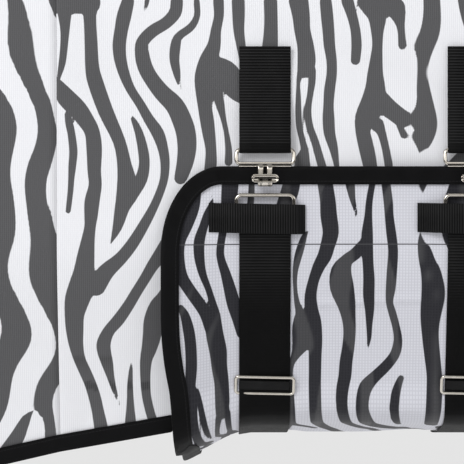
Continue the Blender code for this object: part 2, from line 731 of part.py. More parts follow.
def make_flap(cloth, black, parent):
    rows = flap_rows()
    shares = (0, 0.04, 0.08, 0.125, 0.25, 0.375, 0.5, 0.625, 0.75, 0.875, 0.92, 0.96, 1)
    grids = []
    for lift in (FLAP_LIFT + CLOTH, FLAP_LIFT):
        grid = []
        for r in rows:
            front, rear = flap_edges(r)
            grid.append([flap_point(front + (rear - front) * k, r, lift) for k in shares])
        grids.append(grid)
    slab("flap_panel", *grids, cloth, parent)
    edge = [(flap_edges(r)[0], r) for r in reversed(rows) if r < FLAP_LENGTH - 0.004]
    front, rear = flap_edges(0.0)
    edge += [(front + (rear - front) * k / 6, 0.0) for k in range(1, 6)]
    edge += [(flap_edges(r)[1], r) for r in rows if r < FLAP_LENGTH - 0.004]
    grids = []
    for lift in (FLAP_LIFT + CLOTH + 3 * GAP + BINDING, FLAP_LIFT + CLOTH + 3 * GAP):
        grid = []
        for i, (x, r) in enumerate(edge):
            before, after = edge[max(i - 1, 0)], edge[min(i + 1, len(edge) - 1)]
            run = Vector((after[0] - before[0], after[1] - before[1])).normalized()
            inner_x, inner_r = x - run.y * BINDING_WIDTH, r + run.x * BINDING_WIDTH
            grid.append([flap_point(x, r, lift), flap_point(inner_x, inner_r, lift)])
        grids.append(grid)
    slab("flap_binding", *grids, black, parent)


def tail_point(y, share, lift):
    """A point on the tail flap, share running from its top seam to its lower edge."""
    bow = TAIL_BOW * math.sin(math.pi * 0.8 * share) - 0.012 * (y / TAIL_HALF_WIDTH) ** 2 * smooth(share)
    out = abs(y) / half_width(REAR_X)
    drop = 1 - (1 - out ** ROUNDNESS) ** (1 / ROUNDNESS)
    top = back_z(REAR_X) + (WIDEST_Z - back_z(REAR_X)) * drop
    low = back_z(REAR_X) - TAIL_LENGTH
    z = top + (low - top) * share
    return Vector((REAR_X + TAIL_STANDOFF + bow + lift, y, z))


def make_tail_flap(cloth, black, parent):
    shares = [k / 8 for k in range(9)]
    across = [TAIL_HALF_WIDTH * k / 4 for k in range(-4, 5)]
    grids = [[[tail_point(y, s, lift) for y in across] for s in shares] for lift in (CLOTH, 0.0)]
    slab("tail_flap_panel", *grids, cloth, parent)
    inner = TAIL_HALF_WIDTH - BINDING_WIDTH
    edge = [((TAIL_HALF_WIDTH, s), (inner, s)) for s in shares[:-1]]
    low = 1 - BINDING_WIDTH / TAIL_LENGTH
    edge += [((y, 1.0), (y * inner / TAIL_HALF_WIDTH, low)) for y in reversed(across)]
    edge += [((-TAIL_HALF_WIDTH, s), (-inner, s)) for s in reversed(shares[:-1])]
    lifts = (CLOTH + 2 * GAP + BINDING, CLOTH + 2 * GAP)
    grids = [[[tail_point(y, s, lift) for y, s in pair] for pair in edge] for lift in lifts]
    slab("tail_flap_binding", *grids, black, parent)


def make_tail_tape(black, root):
    """The tape over the rump that the tail flap hangs from."""
    downs = (0.34, 0.2, 0.08, 0.0)
    grids = []
    for lift in (GAP + TAPE, GAP):
        rows = []
        for x in (BODY_STATIONS[1] + TAPE_GAP, REAR_X):
            near = [body_lifted(x, d, lift) for d in downs]
            far = [Vector((p.x, -p.y, p.z)) for p in reversed(near[:-1])]
            near[-1].y = 0.0
            rows.append(near + far)
        grids.append(rows)
    slab("tail_tape", *grids, black, root)


def build():
    clear_scene()
    cloth = material("zebra_mesh", PRINT, 0.7)
    black = material("black_webbing", BLACK, 0.75)
    fleece = material("fleece", FLEECE, 0.9)
    nickel = material("nickel", NICKEL, 0.3, 1.0)
    sheet = empty_at("sheet_body", (0, 0, 0))
    make_panels(cloth, sheet)
    make_edge_bindings(black, sheet)
    make_back_tape(black, sheet)
    make_wither_pad(fleece, sheet)
    make_flap_seam_tape(black, sheet)
    make_tail_tape(black, sheet)

    flap_axis = (0.0, HALF_WIDTH + FLAP_LIFT + CLOTH / 2, FLAP_SEAM_Z)
    flap = empty_at("flap_swing", flap_axis, sheet)
    make_flap(cloth, black, flap)
    base = FLAP_LIFT + CLOTH
    strap_end = FLAP_LENGTH / 2
    for k, x in enumerate(BELLY_CLOSURES_X, 1):
        make_closure(f"belly_{k}", belly_place(x), 0.0, base, UPPER_STRAP, strap_end, BELLY_SLIDER,
                     BELLY_SLIDER_DOWN, sheet, flap, empty_at, (black, nickel))
    for k, z in enumerate(CHEST_CLOSURES_Z, 1):
        make_closure(f"chest_{k}", chest_place(z), 0.0, 0.0, CHEST_STRAP, CHEST_STRAP_END, CHEST_SLIDER,
                     0.0, sheet, sheet, empty_at, (black, nickel))
    tail = empty_at("tail_swing", tail_point(0.0, 0.0, CLOTH / 2), sheet)
    make_tail_flap(cloth, black, tail)


build()
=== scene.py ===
import math

import bpy
import numpy as np
from mathutils import Matrix, Vector


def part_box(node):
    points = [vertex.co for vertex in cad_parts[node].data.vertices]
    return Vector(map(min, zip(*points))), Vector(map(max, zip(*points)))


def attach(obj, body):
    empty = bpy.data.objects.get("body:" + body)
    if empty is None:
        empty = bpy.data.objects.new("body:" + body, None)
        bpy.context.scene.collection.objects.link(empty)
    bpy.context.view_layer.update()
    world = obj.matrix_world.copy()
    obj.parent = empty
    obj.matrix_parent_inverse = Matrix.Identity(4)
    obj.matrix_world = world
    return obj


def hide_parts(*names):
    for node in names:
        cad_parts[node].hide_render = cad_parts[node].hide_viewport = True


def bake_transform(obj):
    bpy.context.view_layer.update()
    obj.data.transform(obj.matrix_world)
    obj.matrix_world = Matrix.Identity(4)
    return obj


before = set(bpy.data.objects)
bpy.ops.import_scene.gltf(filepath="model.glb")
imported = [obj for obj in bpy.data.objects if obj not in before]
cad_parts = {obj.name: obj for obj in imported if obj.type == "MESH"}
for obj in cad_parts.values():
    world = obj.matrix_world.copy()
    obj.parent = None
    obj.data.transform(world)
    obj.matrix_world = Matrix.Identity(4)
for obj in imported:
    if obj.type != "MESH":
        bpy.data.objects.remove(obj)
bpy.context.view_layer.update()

# ---- Where it stands ----
# The camera is square on to the near side, level with the first belly closure, far off with a long lens.
# The sheet stands over a plain pale floor in soft white light, with one large soft lamp from the upper left.
strap_low, strap_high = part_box("belly_1_hook_strap")
CLOSURE_X = (strap_low.x + strap_high.x) / 2
VIEW_HEIGHT = -0.5405
VIEW_WIDTH = 0.4454
VIEW_FROM = 3.0
HALF_WIDTH = 0.31
FLOOR_Z = -1.5

bpy.ops.object.select_all(action="DESELECT")
bpy.ops.object.camera_add(
    location=(CLOSURE_X - 0.0317, -HALF_WIDTH - VIEW_FROM, VIEW_HEIGHT), rotation=(math.pi / 2, 0, 0)
)
camera = bpy.context.object
camera.data.lens = 36 * VIEW_FROM / VIEW_WIDTH
camera.data.clip_end = 500
bpy.context.scene.camera = camera
bpy.context.scene.view_settings.view_transform = "Standard"

bpy.ops.mesh.primitive_plane_add(size=9.0, location=(0.4, 0.0, FLOOR_Z))
floor = bpy.context.object
floor.name = "floor"
floor_paint = bpy.data.materials.new("floor_paint")
floor_paint.use_nodes = True
floor_paint.node_tree.nodes["Principled BSDF"].inputs["Base Color"].default_value = (0.98, 0.98, 0.98, 1)
floor_paint.node_tree.nodes["Principled BSDF"].inputs["Roughness"].default_value = 0.9
floor.data.materials.append(floor_paint)

world = bpy.data.worlds.new("studio")
bpy.context.scene.world = world
world.use_nodes = True
sky = world.node_tree
plain = sky.nodes["Background"]
plain.inputs["Color"].default_value = (1.0, 1.0, 1.0, 1)
plain.inputs["Strength"].default_value = 0.78
way = sky.nodes.new("ShaderNodeTexCoord")
split = sky.nodes.new("ShaderNodeSeparateXYZ")
bands = sky.nodes.new("ShaderNodeValToRGB")
bands.color_ramp.elements[0].position = 0.0
bands.color_ramp.elements[0].color = (0.35, 0.34, 0.32, 1)
bands.color_ramp.elements[1].position = 1.0
bands.color_ramp.elements[1].color = (0.5, 0.5, 0.5, 1)
for place, shade in (
    (0.16, 0.05), (0.28, 0.30), (0.36, 0.03), (0.56, 0.06), (0.62, 1.4), (0.74, 1.2), (0.80, 0.10)
):
    stop = bands.color_ramp.elements.new(place)
    stop.color = (shade, shade * 0.985, shade * 0.96, 1)
stretch = sky.nodes.new("ShaderNodeMath")
stretch.operation = "MULTIPLY_ADD"
stretch.inputs[1].default_value = 0.5
stretch.inputs[2].default_value = 0.5
mirrored_room = sky.nodes.new("ShaderNodeBackground")
rays = sky.nodes.new("ShaderNodeLightPath")
either = sky.nodes.new("ShaderNodeMixShader")
sky.links.new(way.outputs["Generated"], split.inputs[0])
sky.links.new(split.outputs["Z"], stretch.inputs[0])
sky.links.new(stretch.outputs[0], bands.inputs["Fac"])
sky.links.new(bands.outputs["Color"], mirrored_room.inputs["Color"])
sky.links.new(rays.outputs["Is Glossy Ray"], either.inputs["Fac"])
sky.links.new(plain.outputs[0], either.inputs[1])
sky.links.new(mirrored_room.outputs[0], either.inputs[2])
sky.links.new(either.outputs[0], sky.nodes["World Output"].inputs["Surface"])

bpy.ops.object.light_add(type="AREA", location=(-1.6, -3.0, 1.6))
lamp = bpy.context.object
lamp.data.energy = 60
lamp.data.size = 1.4
lamp.rotation_euler = (
    (Vector((CLOSURE_X, -HALF_WIDTH, -0.5)) - lamp.location).to_track_quat("-Z", "Y").to_euler()
)
for made in (floor, lamp, camera):
    made.select_set(False)

# ---- Body panels ----
# Two halves of printed mesh, joined by a seam along the back. Each is one cut piece from the shoulder
# seam to the tail and from the back down to the hem.

# The cut follows a standing horse: a level back, a rounded barrel, and sides that lean in below the
# widest line. Lengths are in metres.
TAPER = 0.185
WITHERS_X = -0.085
REAR_X = 1.315
CROUP_X = 0.615
RUMP_X = 0.965
SHOULDER_X = 0.065
WIDEST_Z = -0.37
ROUNDNESS = 2.2
BACK_Z = 0.018
HOLLOW = 0.048
CROUP = 0.035
TAIL_FALL = 0.09
BACK_EASE = 0.30
CLOTH = 0.002
GAP = 0.0004
FLAP_FRONT_X = 0.166
FLAP_REAR_X = 0.764
FLAP_TOP = -0.4785
LEAN_TOP = -0.53
LEAN_LENGTH = 0.07
LEAN_SLOPE = 0.364
HEM_AT_FLAP = -0.737
HEM_UNDER_FLAP = -0.660
FRONT_HEM_SLOPE = 0.18
FRONT_HEM_LOWEST = -0.790
REAR_HEM_SLOPE = 0.06


def smooth(t):
    t = np.clip(t, 0.0, 1.0)
    return t * t * (3 - 2 * t)


def half_width(x):
    middle = (FLAP_FRONT_X + FLAP_REAR_X) / 2
    beyond = np.maximum(np.abs(x - middle) - (FLAP_REAR_X - middle + 0.03), 0.0)
    return HALF_WIDTH - TAPER * beyond ** 2


def back_height(x):
    hollow = HOLLOW * smooth((x - SHOULDER_X) / BACK_EASE)
    croup = CROUP * smooth((x - CROUP_X) / BACK_EASE)
    return BACK_Z - hollow + croup - TAIL_FALL * smooth((x - RUMP_X) / (REAR_X + 0.2 - RUMP_X))


def drawn_in(z):
    down = np.maximum(LEAN_TOP - z, 0.0)
    bend = np.minimum(down, LEAN_LENGTH)
    return LEAN_SLOPE * (bend * bend / (2 * LEAN_LENGTH) + np.maximum(down - LEAN_LENGTH, 0.0))


def hem_height(x):
    front = np.maximum(HEM_AT_FLAP + FRONT_HEM_SLOPE * np.minimum(x - FLAP_FRONT_X, 0.0), FRONT_HEM_LOWEST)
    free = front - REAR_HEM_SLOPE * np.maximum(x - FLAP_REAR_X, 0.0)
    behind = smooth((x - FLAP_FRONT_X - 0.004) / 0.05) * smooth((FLAP_REAR_X - 0.004 - x) / 0.05)
    return free + (HEM_UNDER_FLAP - free) * behind


def round_section(turn):
    angle = turn * math.pi / 2
    power = 2 / ROUNDNESS
    return np.sin(angle) ** power, 1 - np.maximum(np.cos(angle), 0.0) ** power


def body_surface(along, down):
    """Points on the near body panel: down is 0 at the back seam, 1 at the widest line and 2 at the hem."""
    along, down = np.broadcast_arrays(np.asarray(along, float), np.asarray(down, float))
    share = (REAR_X - along) / (REAR_X - SHOULDER_X)
    top_x = REAR_X + (WITHERS_X - REAR_X) * share
    out, drop = round_section(np.clip(down, 0, 1))
    top = back_height(top_x)
    upper = np.stack(
        [top_x + (along - top_x) * out, -half_width(along) * out, top + (WIDEST_Z - top) * drop], -1
    )
    z = WIDEST_Z + (hem_height(along) - WIDEST_Z) * (down - 1)
    lower = np.stack([along, -(half_width(along) - drawn_in(z)), z], -1)
    return np.where((down <= 1)[..., None], upper, lower)


def raised(surface, u, v, lift, u_range=(0.0, 1.0)):
    """Points that far outside a surface, along its normal."""
    step = 0.004
    u, v = np.broadcast_arrays(np.asarray(u, float), np.asarray(v, float))
    v_near = np.clip(v, 2.5 * step, 2 - step)
    along = (surface(np.minimum(u + step, u_range[1]), v_near)
             - surface(np.maximum(u - step, u_range[0]), v_near))
    down = surface(u, v_near + step) - surface(u, v_near - step)
    normal = np.cross(along, down)
    normal /= np.linalg.norm(normal, axis=-1, keepdims=True)
    here = surface(u, v)
    core = np.stack(
        [np.clip(here[..., 0], SHOULDER_X, REAR_X), here[..., 1] * 0, here[..., 0] * 0 + WIDEST_Z], -1
    )
    facing = np.sign(((here - core) * normal).sum(-1))[..., None]
    made = here + normal * facing * np.asarray(lift, float)[..., None]
    made[..., 1] = np.minimum(made[..., 1], -GAP / 2)
    return made


# The mesh is printed with black stripes that fork and end in points. The stripes round the first closure
# are drawn one by one, each as (across, down, width) in centimetres from where that closure crosses the
# flap's top edge. The rest of the cloth has stripes of the same size that wander, fork and join.
BODY_STRIPES = (
    ((-16.8, -16, 2.1), (-16.8, -14.6, 1.25), (-16.7, -11.8, 1.25), (-16.6, -9.6, 1.35), (-16.3, -8.2, 1.5),
     (-15.3, -5.4, 1.45), (-14, -2.5, 1.2), (-13.5, -.2, 1.4), (-13.2, 2.2, 2.1), (-13.7, 3.8, 1.45),
     (-14.2, 5.8, .9), (-14.9, 7.5, 0)),
    ((-13, -5.2, 0), (-12.6, -4.5, .5), (-12.1, -3.3, .8), (-11.7, -1.6, 1), (-11.6, -.2, 1.05),
     (-11.9, 1.2, 1.15), (-12.7, 2.6, 1.1)),
    ((-13.1, -16, 1.2), (-13.5, -14.6, 1.4), (-13.8, -13.2, 1.3), (-14, -11.8, 1.3), (-13.9, -10.4, 1.2),
     (-13.5, -8.9, 1.05), (-12.9, -7.5, .9), (-12, -6.1, .9), (-11.2, -4.7, 1), (-10.3, -3.3, 1.2),
     (-9.8, -1.8, 1), (-9.6, -.4, .9), (-9.7, 1.1, .8), (-10.1, 2.4, .8), (-10.7, 3.8, .85),
     (-11.5, 5.3, 1), (-12.7, 7.3, 1.15), (-13.9, 8.8, 1.25), (-15.3, 10.1, 1.6), (-16.3, 11.6, 1.9)),
    ((-8.4, -16, 1.2), (-8.6, -14.9, 1.2), (-9.5, -13.9, 1.15), (-10.8, -13.1, 1.2), (-11.8, -12, 1.2),
     (-11.8, -10.8, 1.4), (-11.5, -9.6, 1.45), (-10.9, -8.5, 1.45), (-9.9, -7.2, 1.6), (-8.7, -6, 1.8),
     (-8, -4.6, 1.9), (-7.6, -3.3, 1.9), (-7.5, -1.8, 1.8), (-7.7, -.4, 1.6), (-8.1, 1, 1.25)),
    ((-6.5, -16, .6), (-6.5, -14.6, .6), (-7.1, -13.5, .75), (-8.3, -12.6, .8), (-8.6, -11.7, 1),
     (-8.7, -10.4, .95), (-8.5, -9.2, .75), (-8.3, -8.2, .4), (-8, -7.4, 0)),
    ((-4.4, -16, 1.05), (-4.4, -14.6, .95), (-4.7, -13.2, 1), (-4.9, -11.7, 1.3), (-5.4, -10.3, 1.8),
     (-5.8, -8.8, 1.9), (-5.9, -7.5, 1.6), (-5.8, -6, 1.35), (-5.6, -4.7, 1.35), (-5.4, -3.3, 1.25),
     (-5.2, -1.8, 1.05), (-5.2, -.4, 1.15), (-5.4, 1.2, 1.15)),
    ((-5.1, -9.7, 2.2), (-3.9, -9.1, 2.5), (-3.2, -8.3, 2.5), (-2.4, -7.6, 2.6), (-1.2, -7, 2.5)),
    ((-4.7, -8, 1.3), (-4.5, -6.8, 1), (-4.3, -6, .85), (-4, -4.7, .55), (-3.7, -3.3, .5),
     (-3.5, -1.8, .65), (-3.5, -.5, .75)),
    ((-2.5, -16, 1.25), (-2.5, -14.6, 1.2), (-2.5, -13.2, 1.05), (-2.3, -11.7, .9), (-2.1, -10.3, .7)),
    ((-19.9, -15.8, 2), (-16.8, -15.8, 2.1)),
    ((-19.2, -14.7, 1.3), (-19.2, -13.2, .9), (-19.3, -11.7, .75), (-19.5, -10, .7), (-19.9, -8.4, .4)),
    ((-20.2, -8, 1.4), (-19.1, -6.7, 1.8), (-18, -5.6, 1.8), (-17.2, -4.5, 1.6), (-16.6, -3.4, 1.45),
     (-16.4, -1.8, 1.5), (-16.4, .3, 1.3), (-16.3, 1.7, 1.25), (-16.6, 3.2, 1.45), (-16.7, 4.6, 1.3),
     (-16.8, 5.7, 1.1), (-17, 7, 1.3), (-17.2, 8.4, 1.65), (-17.4, 10, 2), (-17.6, 11.4, 2.5),
     (-18.1, 12.9, 2.4), (-18.4, 14.5, 1.9), (-18.4, 16.1, 1.7), (-18.3, 17.6, 1.4), (-18, 19.1, 1.15),
     (-17.5, 20.4, 1.15), (-17, 21.7, 1.15), (-16.6, 23.1, 1.2), (-16.3, 24.6, 1.2), (-16, 26.4, 1.35),
     (-15.8, 28.5, 1.35)),
    ((-19, -5.2, .5), (-18.8, -4.2, .75), (-18.6, -3.3, .75), (-18.4, -1.6, .8), (-18.5, -.2, .75),
     (-18.6, 1.1, .6), (-18.7, 2.5, .55), (-18.9, 4.2, .5)),
    ((-9.3, 7.3, 1.5), (-10, 8.4, 1.4), (-10.8, 9.5, 1.15), (-11.5, 10.7, 1.05), (-12.4, 12.2, 1.05),
     (-13.2, 13.6, 1.1), (-14.2, 15.1, 1.2), (-15.1, 16.2, 1.15), (-15.6, 17.4, 1.35), (-15.6, 18.3, 1.35),
     (-15.3, 19.6, 1.15), (-15, 21, .75), (-14.6, 22.6, .45), (-14, 24.4, 0)),
    ((-9.5, 11.4, .4), (-10, 12.6, .85), (-10.5, 13.6, 1.35), (-10.8, 15.1, 1.8), (-10.9, 16.5, 1.8),
     (-11.2, 18, 1.5), (-11.5, 19.1, 1.2), (-11.6, 20.3, 1.05), (-11.6, 21.7, .95), (-11.5, 23.1, .9),
     (-11.2, 24.6, .9), (-10.9, 25.8, .9), (-10.6, 28, .9)),
    ((-12.8, 18.9, 0), (-13, 20.2, .35), (-13.1, 21.7, .55), (-13.1, 23.1, .65), (-13.1, 24.6, .85),
     (-13.1, 25.8, 1.1), (-13.1, 28, 1.2)),
    ((-11.2, -16.4, .5), (-11.4, -15.5, .35), (-11.6, -15, 0)),
    ((.6, -16, 1.3), (.6, -13.9, 1.3), (.5, -11.8, 1.5), (.3, -10.3, 1.7)),
    ((3.3, -16, 1.9), (3.5, -14.6, 1.7), (3.6, -13.2, 1.55), (3.9, -11.7, 1.6), (4, -10.3, 1.75),
     (3.9, -9.4, 1.6)),
    ((3.5, -9.3, .8), (3.2, -8.2, .4), (3.2, -6.8, .5), (3.2, -5.4, .6), (3.3, -3.9, .6), (3.6, -2.6, .6),
     (3.8, -1.6, .8), (3.6, -.7, 1.4), (3.6, .5, 1.7)),
    ((4.5, -9.3, .8), (4.5, -8.2, .7), (4.3, -6.8, .6), (4.1, -5.4, .7), (4.3, -3.9, .7), (4.8, -2.5, .75),
     (5.2, -1.1, .8), (5.6, .3, .85)),
    ((5.9, -16, 1.15), (6, -14.6, 1.2), (6.1, -13.2, 1.15), (6.2, -11.7, 1.1), (6.4, -10.3, 1),
     (6.4, -8.9, 1), (6.2, -7.5, 1.05), (6.1, -6, 1), (6.1, -4.7, 1.15), (6.2, -3.3, 1.1), (6.6, -1.8, .85),
     (6.9, -.1, .5), (7.1, 1.1, .5)),
    ((8, -16, 1.2), (8.4, -14.6, 1), (8.7, -13.2, .95), (8.8, -11.7, 1), (8.7, -10.3, .9)),
    ((10.3, -16, 2.7), (10.8, -14.7, 1.9), (10.8, -13.2, 1.25), (10.8, -11.8, 1), (10.7, -10.4, 1.2),
     (10.6, -8.9, 1.55), (10.6, -7.6, 1.95), (10.4, -6.2, 2.4), (9.7, -4.8, 2.1), (9.4, -3.6, 1.45),
     (9.6, -2.5, 1.45), (9.9, -1.2, 1.45), (10.2, .3, 1.3)),
    ((10.8, -6.6, 2.1), (12, -5.6, 1.75), (13.2, -4.7, 1.7)),
    ((11.5, -15.8, 2.3), (12.6, -15.3, 2), (13.1, -13.6, .9), (13.2, -11.7, .8)),
    ((10.8, -4.1, 1.3), (11.2, -3.3, .85), (11.6, -1.8, .75), (11.9, -.2, .8)),
    ((12.9, -4.1, .6), (13.3, -3.1, .6)),
)
FLAP_STRIPES = (
    ((-6.6, 1.7, 1.05), (-6.8, 3.8, 1.05), (-7.5, 5.6, 1.1), (-8.2, 7, 1.15), (-8.3, 8.5, 1.15),
     (-8, 10.1, 1.15), (-7.3, 11.2, 1.1), (-6.4, 12.4, 1.1), (-5.7, 13.5, 1.15), (-5.1, 14.9, 1.4)),
    ((-5.1, 2.6, 0), (-5.1, 3.4, .4), (-5.5, 4.5, .8), (-5.9, 5.7, .85), (-6.3, 7, 1.05), (-6.3, 8.4, 1),
     (-6, 9.9, .75), (-5.4, 11.4, .6), (-5, 12.8, .75), (-4.9, 13.9, 1.3)),
    ((-5, 14.4, 1.6), (-4.8, 15.8, 1.65), (-4.5, 17.3, 1.65), (-4.4, 18.7, 1.5), (-4.2, 20.2, 1.4),
     (-4.1, 21.6, 1.4)),
    ((-4.5, 22.2, .6), (-4.6, 23.1, .45), (-4.2, 24.5, .5), (-3.8, 25.6, .85), (-3.9, 26.8, .85),
     (-3.9, 29, 1)),
    ((-3.6, 22.2, .6), (-3.4, 23.5, .5), (-3.4, 24.7, .6), (-3.1, 25.8, .75), (-2.8, 28, .8)),
    ((-3.3, .9, 1.6), (-3.4, 2.4, 1.6), (-3.6, 4.1, 1.3), (-4, 5.9, .8), (-4.3, 7.8, .75), (-4.2, 8.8, .8),
     (-3.8, 10, .95), (-3.4, 11.4, 1.15), (-3, 12.9, 1.3), (-2.5, 14.3, 1.35), (-2.1, 15.7, 1.3)),
    ((-8.1, 12.8, .6), (-7.7, 13.5, .85), (-7.4, 14.6, 1.05), (-7.2, 15.8, 1.1), (-7.1, 17.3, 1.1),
     (-7.1, 18.7, 1.1), (-7.2, 20.2, 1.05), (-7.1, 21.2, .9), (-6.7, 22.4, .75), (-6.2, 23.3, .75),
     (-5.6, 24.3, .85), (-5.4, 25.3, .9)),
    ((-6, 25.8, 1.2), (-5.5, 26.8, .8), (-5.3, 29, .8)),
    ((-6.6, 20.7, .5), (-6.1, 21.7, .5), (-5.6, 22.6, .45), (-5, 23.5, 0)),
    ((-7.6, 22.8, .3), (-7.2, 23.9, .6), (-6.6, 24.9, .7), (-6, 25.6, .9)),
    ((-1.3, .9, .55), (-1.3, 2.2, .6), (-1.4, 3.5, .65)),
    ((2.6, 1.1, 1.6), (2.4, 2.2, 1.7), (1.9, 3.6, 1.6)),
    ((5.7, 1.2, 1.45), (6, 3.1, 1.5), (6.1, 4.6, 1.6), (6.3, 6.2, 1.55), (6, 7.5, 1.4), (5.7, 8.5, 1.35),
     (5.2, 9.4, 1.2), (4.7, 10.7, 1.05), (4.4, 12.2, 1.15), (4.5, 13.6, 1.3), (4.8, 14.9, 1.35),
     (4.9, 16.6, 1.35), (4.9, 18, 1.25), (4.9, 19.7, 1.2), (4.9, 21.2, 1.2), (5, 22.6, 1.2),
     (5.4, 23.9, 1.2), (6.1, 25.3, 1.15), (7, 26.7, 1.15), (7.8, 29, 1.2)),
    ((4.2, 6, 0), (3.8, 6.5, .5), (3.4, 7.7, .75), (3.1, 8.8, .7), (2.9, 10, .5), (2.9, 11.4, .4),
     (3.1, 12.9, .55), (3.4, 13.9, .95), (3.6, 15.2, 1.9), (3.6, 16.6, 1.9), (3.1, 17.8, 1),
     (2.6, 18.9, .55), (2.5, 20.4, .5), (2.7, 22.2, .55), (2.8, 23.5, .75), (3.4, 24.4, .7), (4.1, 25, .65),
     (5.1, 25.8, .6)),
    ((2.6, 23.8, .7), (2.4, 25.1, .65), (2.3, 27, .7)),
    ((8.1, 1.1, .95), (8.2, 1.9, .85), (8.4, 3.1, .55), (8.7, 4.3, .28), (8.8, 5.2, 0)),
    ((10.4, .9, .6), (10, 3.2, .65), (9.9, 4.7, .75), (9.8, 6.3, 1.1), (9.8, 7.8, 1.15), (9.9, 9.2, 1.05),
     (10, 10.7, 1.1), (10, 12.2, 1.1), (10.1, 13.6, .9), (10.1, 15.1, .6), (10.1, 16.5, .4),
     (9.9, 17.8, 0)),
    ((9.5, 7.4, 1.15), (8.6, 8.3, 1.15), (7.8, 8.9, 1.25), (7.3, 10, 2), (7.4, 11.4, 2.3),
     (7.8, 12.8, 1.85), (8.1, 14.4, 1.35), (8.2, 15.8, 1.2), (8.1, 17.3, 1.2), (7.9, 18.7, 1.25),
     (7.8, 20.2, 1.25), (7.5, 21.7, 1.15), (7.8, 22.8, 1), (8.6, 24, .85), (9.7, 25.2, .85),
     (10.8, 26.2, .85), (11.6, 28, .9)),
    ((11.5, .9, .85), (11.8, 3.2, .9), (11.9, 4.6, .85), (12.1, 6.3, .95), (12.3, 8, .95), (12.2, 9.9, 1),
     (12.1, 11.6, .95), (12, 12.8, .7), (12.3, 13.9, .75), (12.7, 15.3, .75), (12.9, 16.6, .85),
     (12.6, 18, .95), (11.8, 19.1, 1.05), (10.8, 20.1, 1.1), (9.8, 21.1, 1.2), (9.5, 22.1, 1.25),
     (9.9, 23, 1.25), (10.8, 24.1, 1.3), (12.2, 25.2, 1.35), (13.4, 26, 1.35)),
    ((13.2, 20.3, .5), (12.6, 22.1, .9), (13.2, 23.6, .4)),
)
DRAWN_LEFT, DRAWN_RIGHT = -0.194, 0.127
DRAWN_TOP, DRAWN_BOTTOM = -0.160, 0.285
FLAP_HIDES_FROM, FLAP_HIDES_BELOW = -0.075, 0.004
STRIPE_EVERY = 0.0357
BLEND = 0.03


def rounded_stripe(points):
    """The same stripe with three smooth steps between its points."""
    p = np.array(points, float)
    before, after = np.vstack([2 * p[0] - p[1], p[:-1]]), np.vstack([p[1:], 2 * p[-1] - p[-2]])
    slope = (after - before) / 2
    steps = []
    for t in (0, 1 / 3, 2 / 3):
        a, b = p[:-1], p[1:]
        steps.append(
            (2 * t ** 3 - 3 * t ** 2 + 1) * a + (t ** 3 - 2 * t ** 2 + t) * slope[:-1]
            + (3 * t ** 2 - 2 * t ** 3) * b + (t ** 3 - t ** 2) * slope[1:]
        )
    made = np.stack(steps, 1).reshape(-1, 3)
    return np.vstack([made, p[-1]])


def drawn_stripes(stripes, across, down):
    """How far each place is outside the nearest drawn stripe, in metres, and below zero inside it."""
    nearest = np.full(across.shape, 1.0)
    for stripe in stripes:
        line = rounded_stripe(stripe) / 100
        low, high = line[:, :2].min(0) - 0.03, line[:, :2].max(0) + 0.03
        near = (across > low[0]) & (across < high[0]) & (down > low[1]) & (down < high[1])
        place = np.stack([across[near], down[near]], -1)
        found = nearest[near]
        for a, b in zip(line[:-1], line[1:]):
            run = b[:2] - a[:2]
            t = np.clip(((place - a[:2]) @ run) / max(run @ run, 1e-12), 0, 1)
            off = np.linalg.norm(place - a[:2] - t[:, None] * run, axis=1)
            half = np.maximum(a[2] + (b[2] - a[2]) * t, 0) / 2
            found = np.minimum(found, off - half)
        nearest[near] = found
    return np.minimum(nearest, 0.012)


def wandering_stripes(across, down, seed):
    """The same measure for stripes that wander and fork."""
    chance = np.random.RandomState(seed)
    sway = 0.014 * np.sin(down * 11 + 1.3 + 2.2 * np.sin(across * 5 + seed))
    sway += 0.008 * np.sin(down * 27 + across * 14 + seed) + 0.004 * np.sin(down * 61 - across * 33 + 2 * seed)
    turn = 2 * math.pi * (across + sway) / STRIPE_EVERY
    for k in range(110):
        x, y = chance.uniform(-1.2, 1.4), chance.uniform(-0.75, 0.75)
        turn = turn + (1 if k % 2 else -1) * np.arctan2(down - y, across - x)
    thick = 0.28 * np.sin(across * 23 + down * 9 + seed) + 0.22 * np.sin(down * 19 - across * 31 + 3 * seed)
    return (np.sin(turn) + thick + 0.06) * STRIPE_EVERY / (2 * math.pi)


def print_at(across, down, stripes, seed):
    """The print at each place of a panel. across and down are metres from the first closure at
    the flap's top edge."""
    outside = np.maximum.reduce([
        DRAWN_LEFT - across, across - DRAWN_RIGHT, DRAWN_TOP - down, down - DRAWN_BOTTOM,
        np.zeros(across.shape),
    ])
    if stripes is BODY_STRIPES:
        # No stripe is drawn one by one on the cloth that the raised flap hides.
        outside = np.maximum(outside, np.minimum(across - FLAP_HIDES_FROM, down - FLAP_HIDES_BELOW))
    share = smooth(outside / BLEND)
    free = wandering_stripes(across, down, seed)
    if stripes is None:
        return free
    return drawn_stripes(stripes, across, down) * (1 - share) + free * share


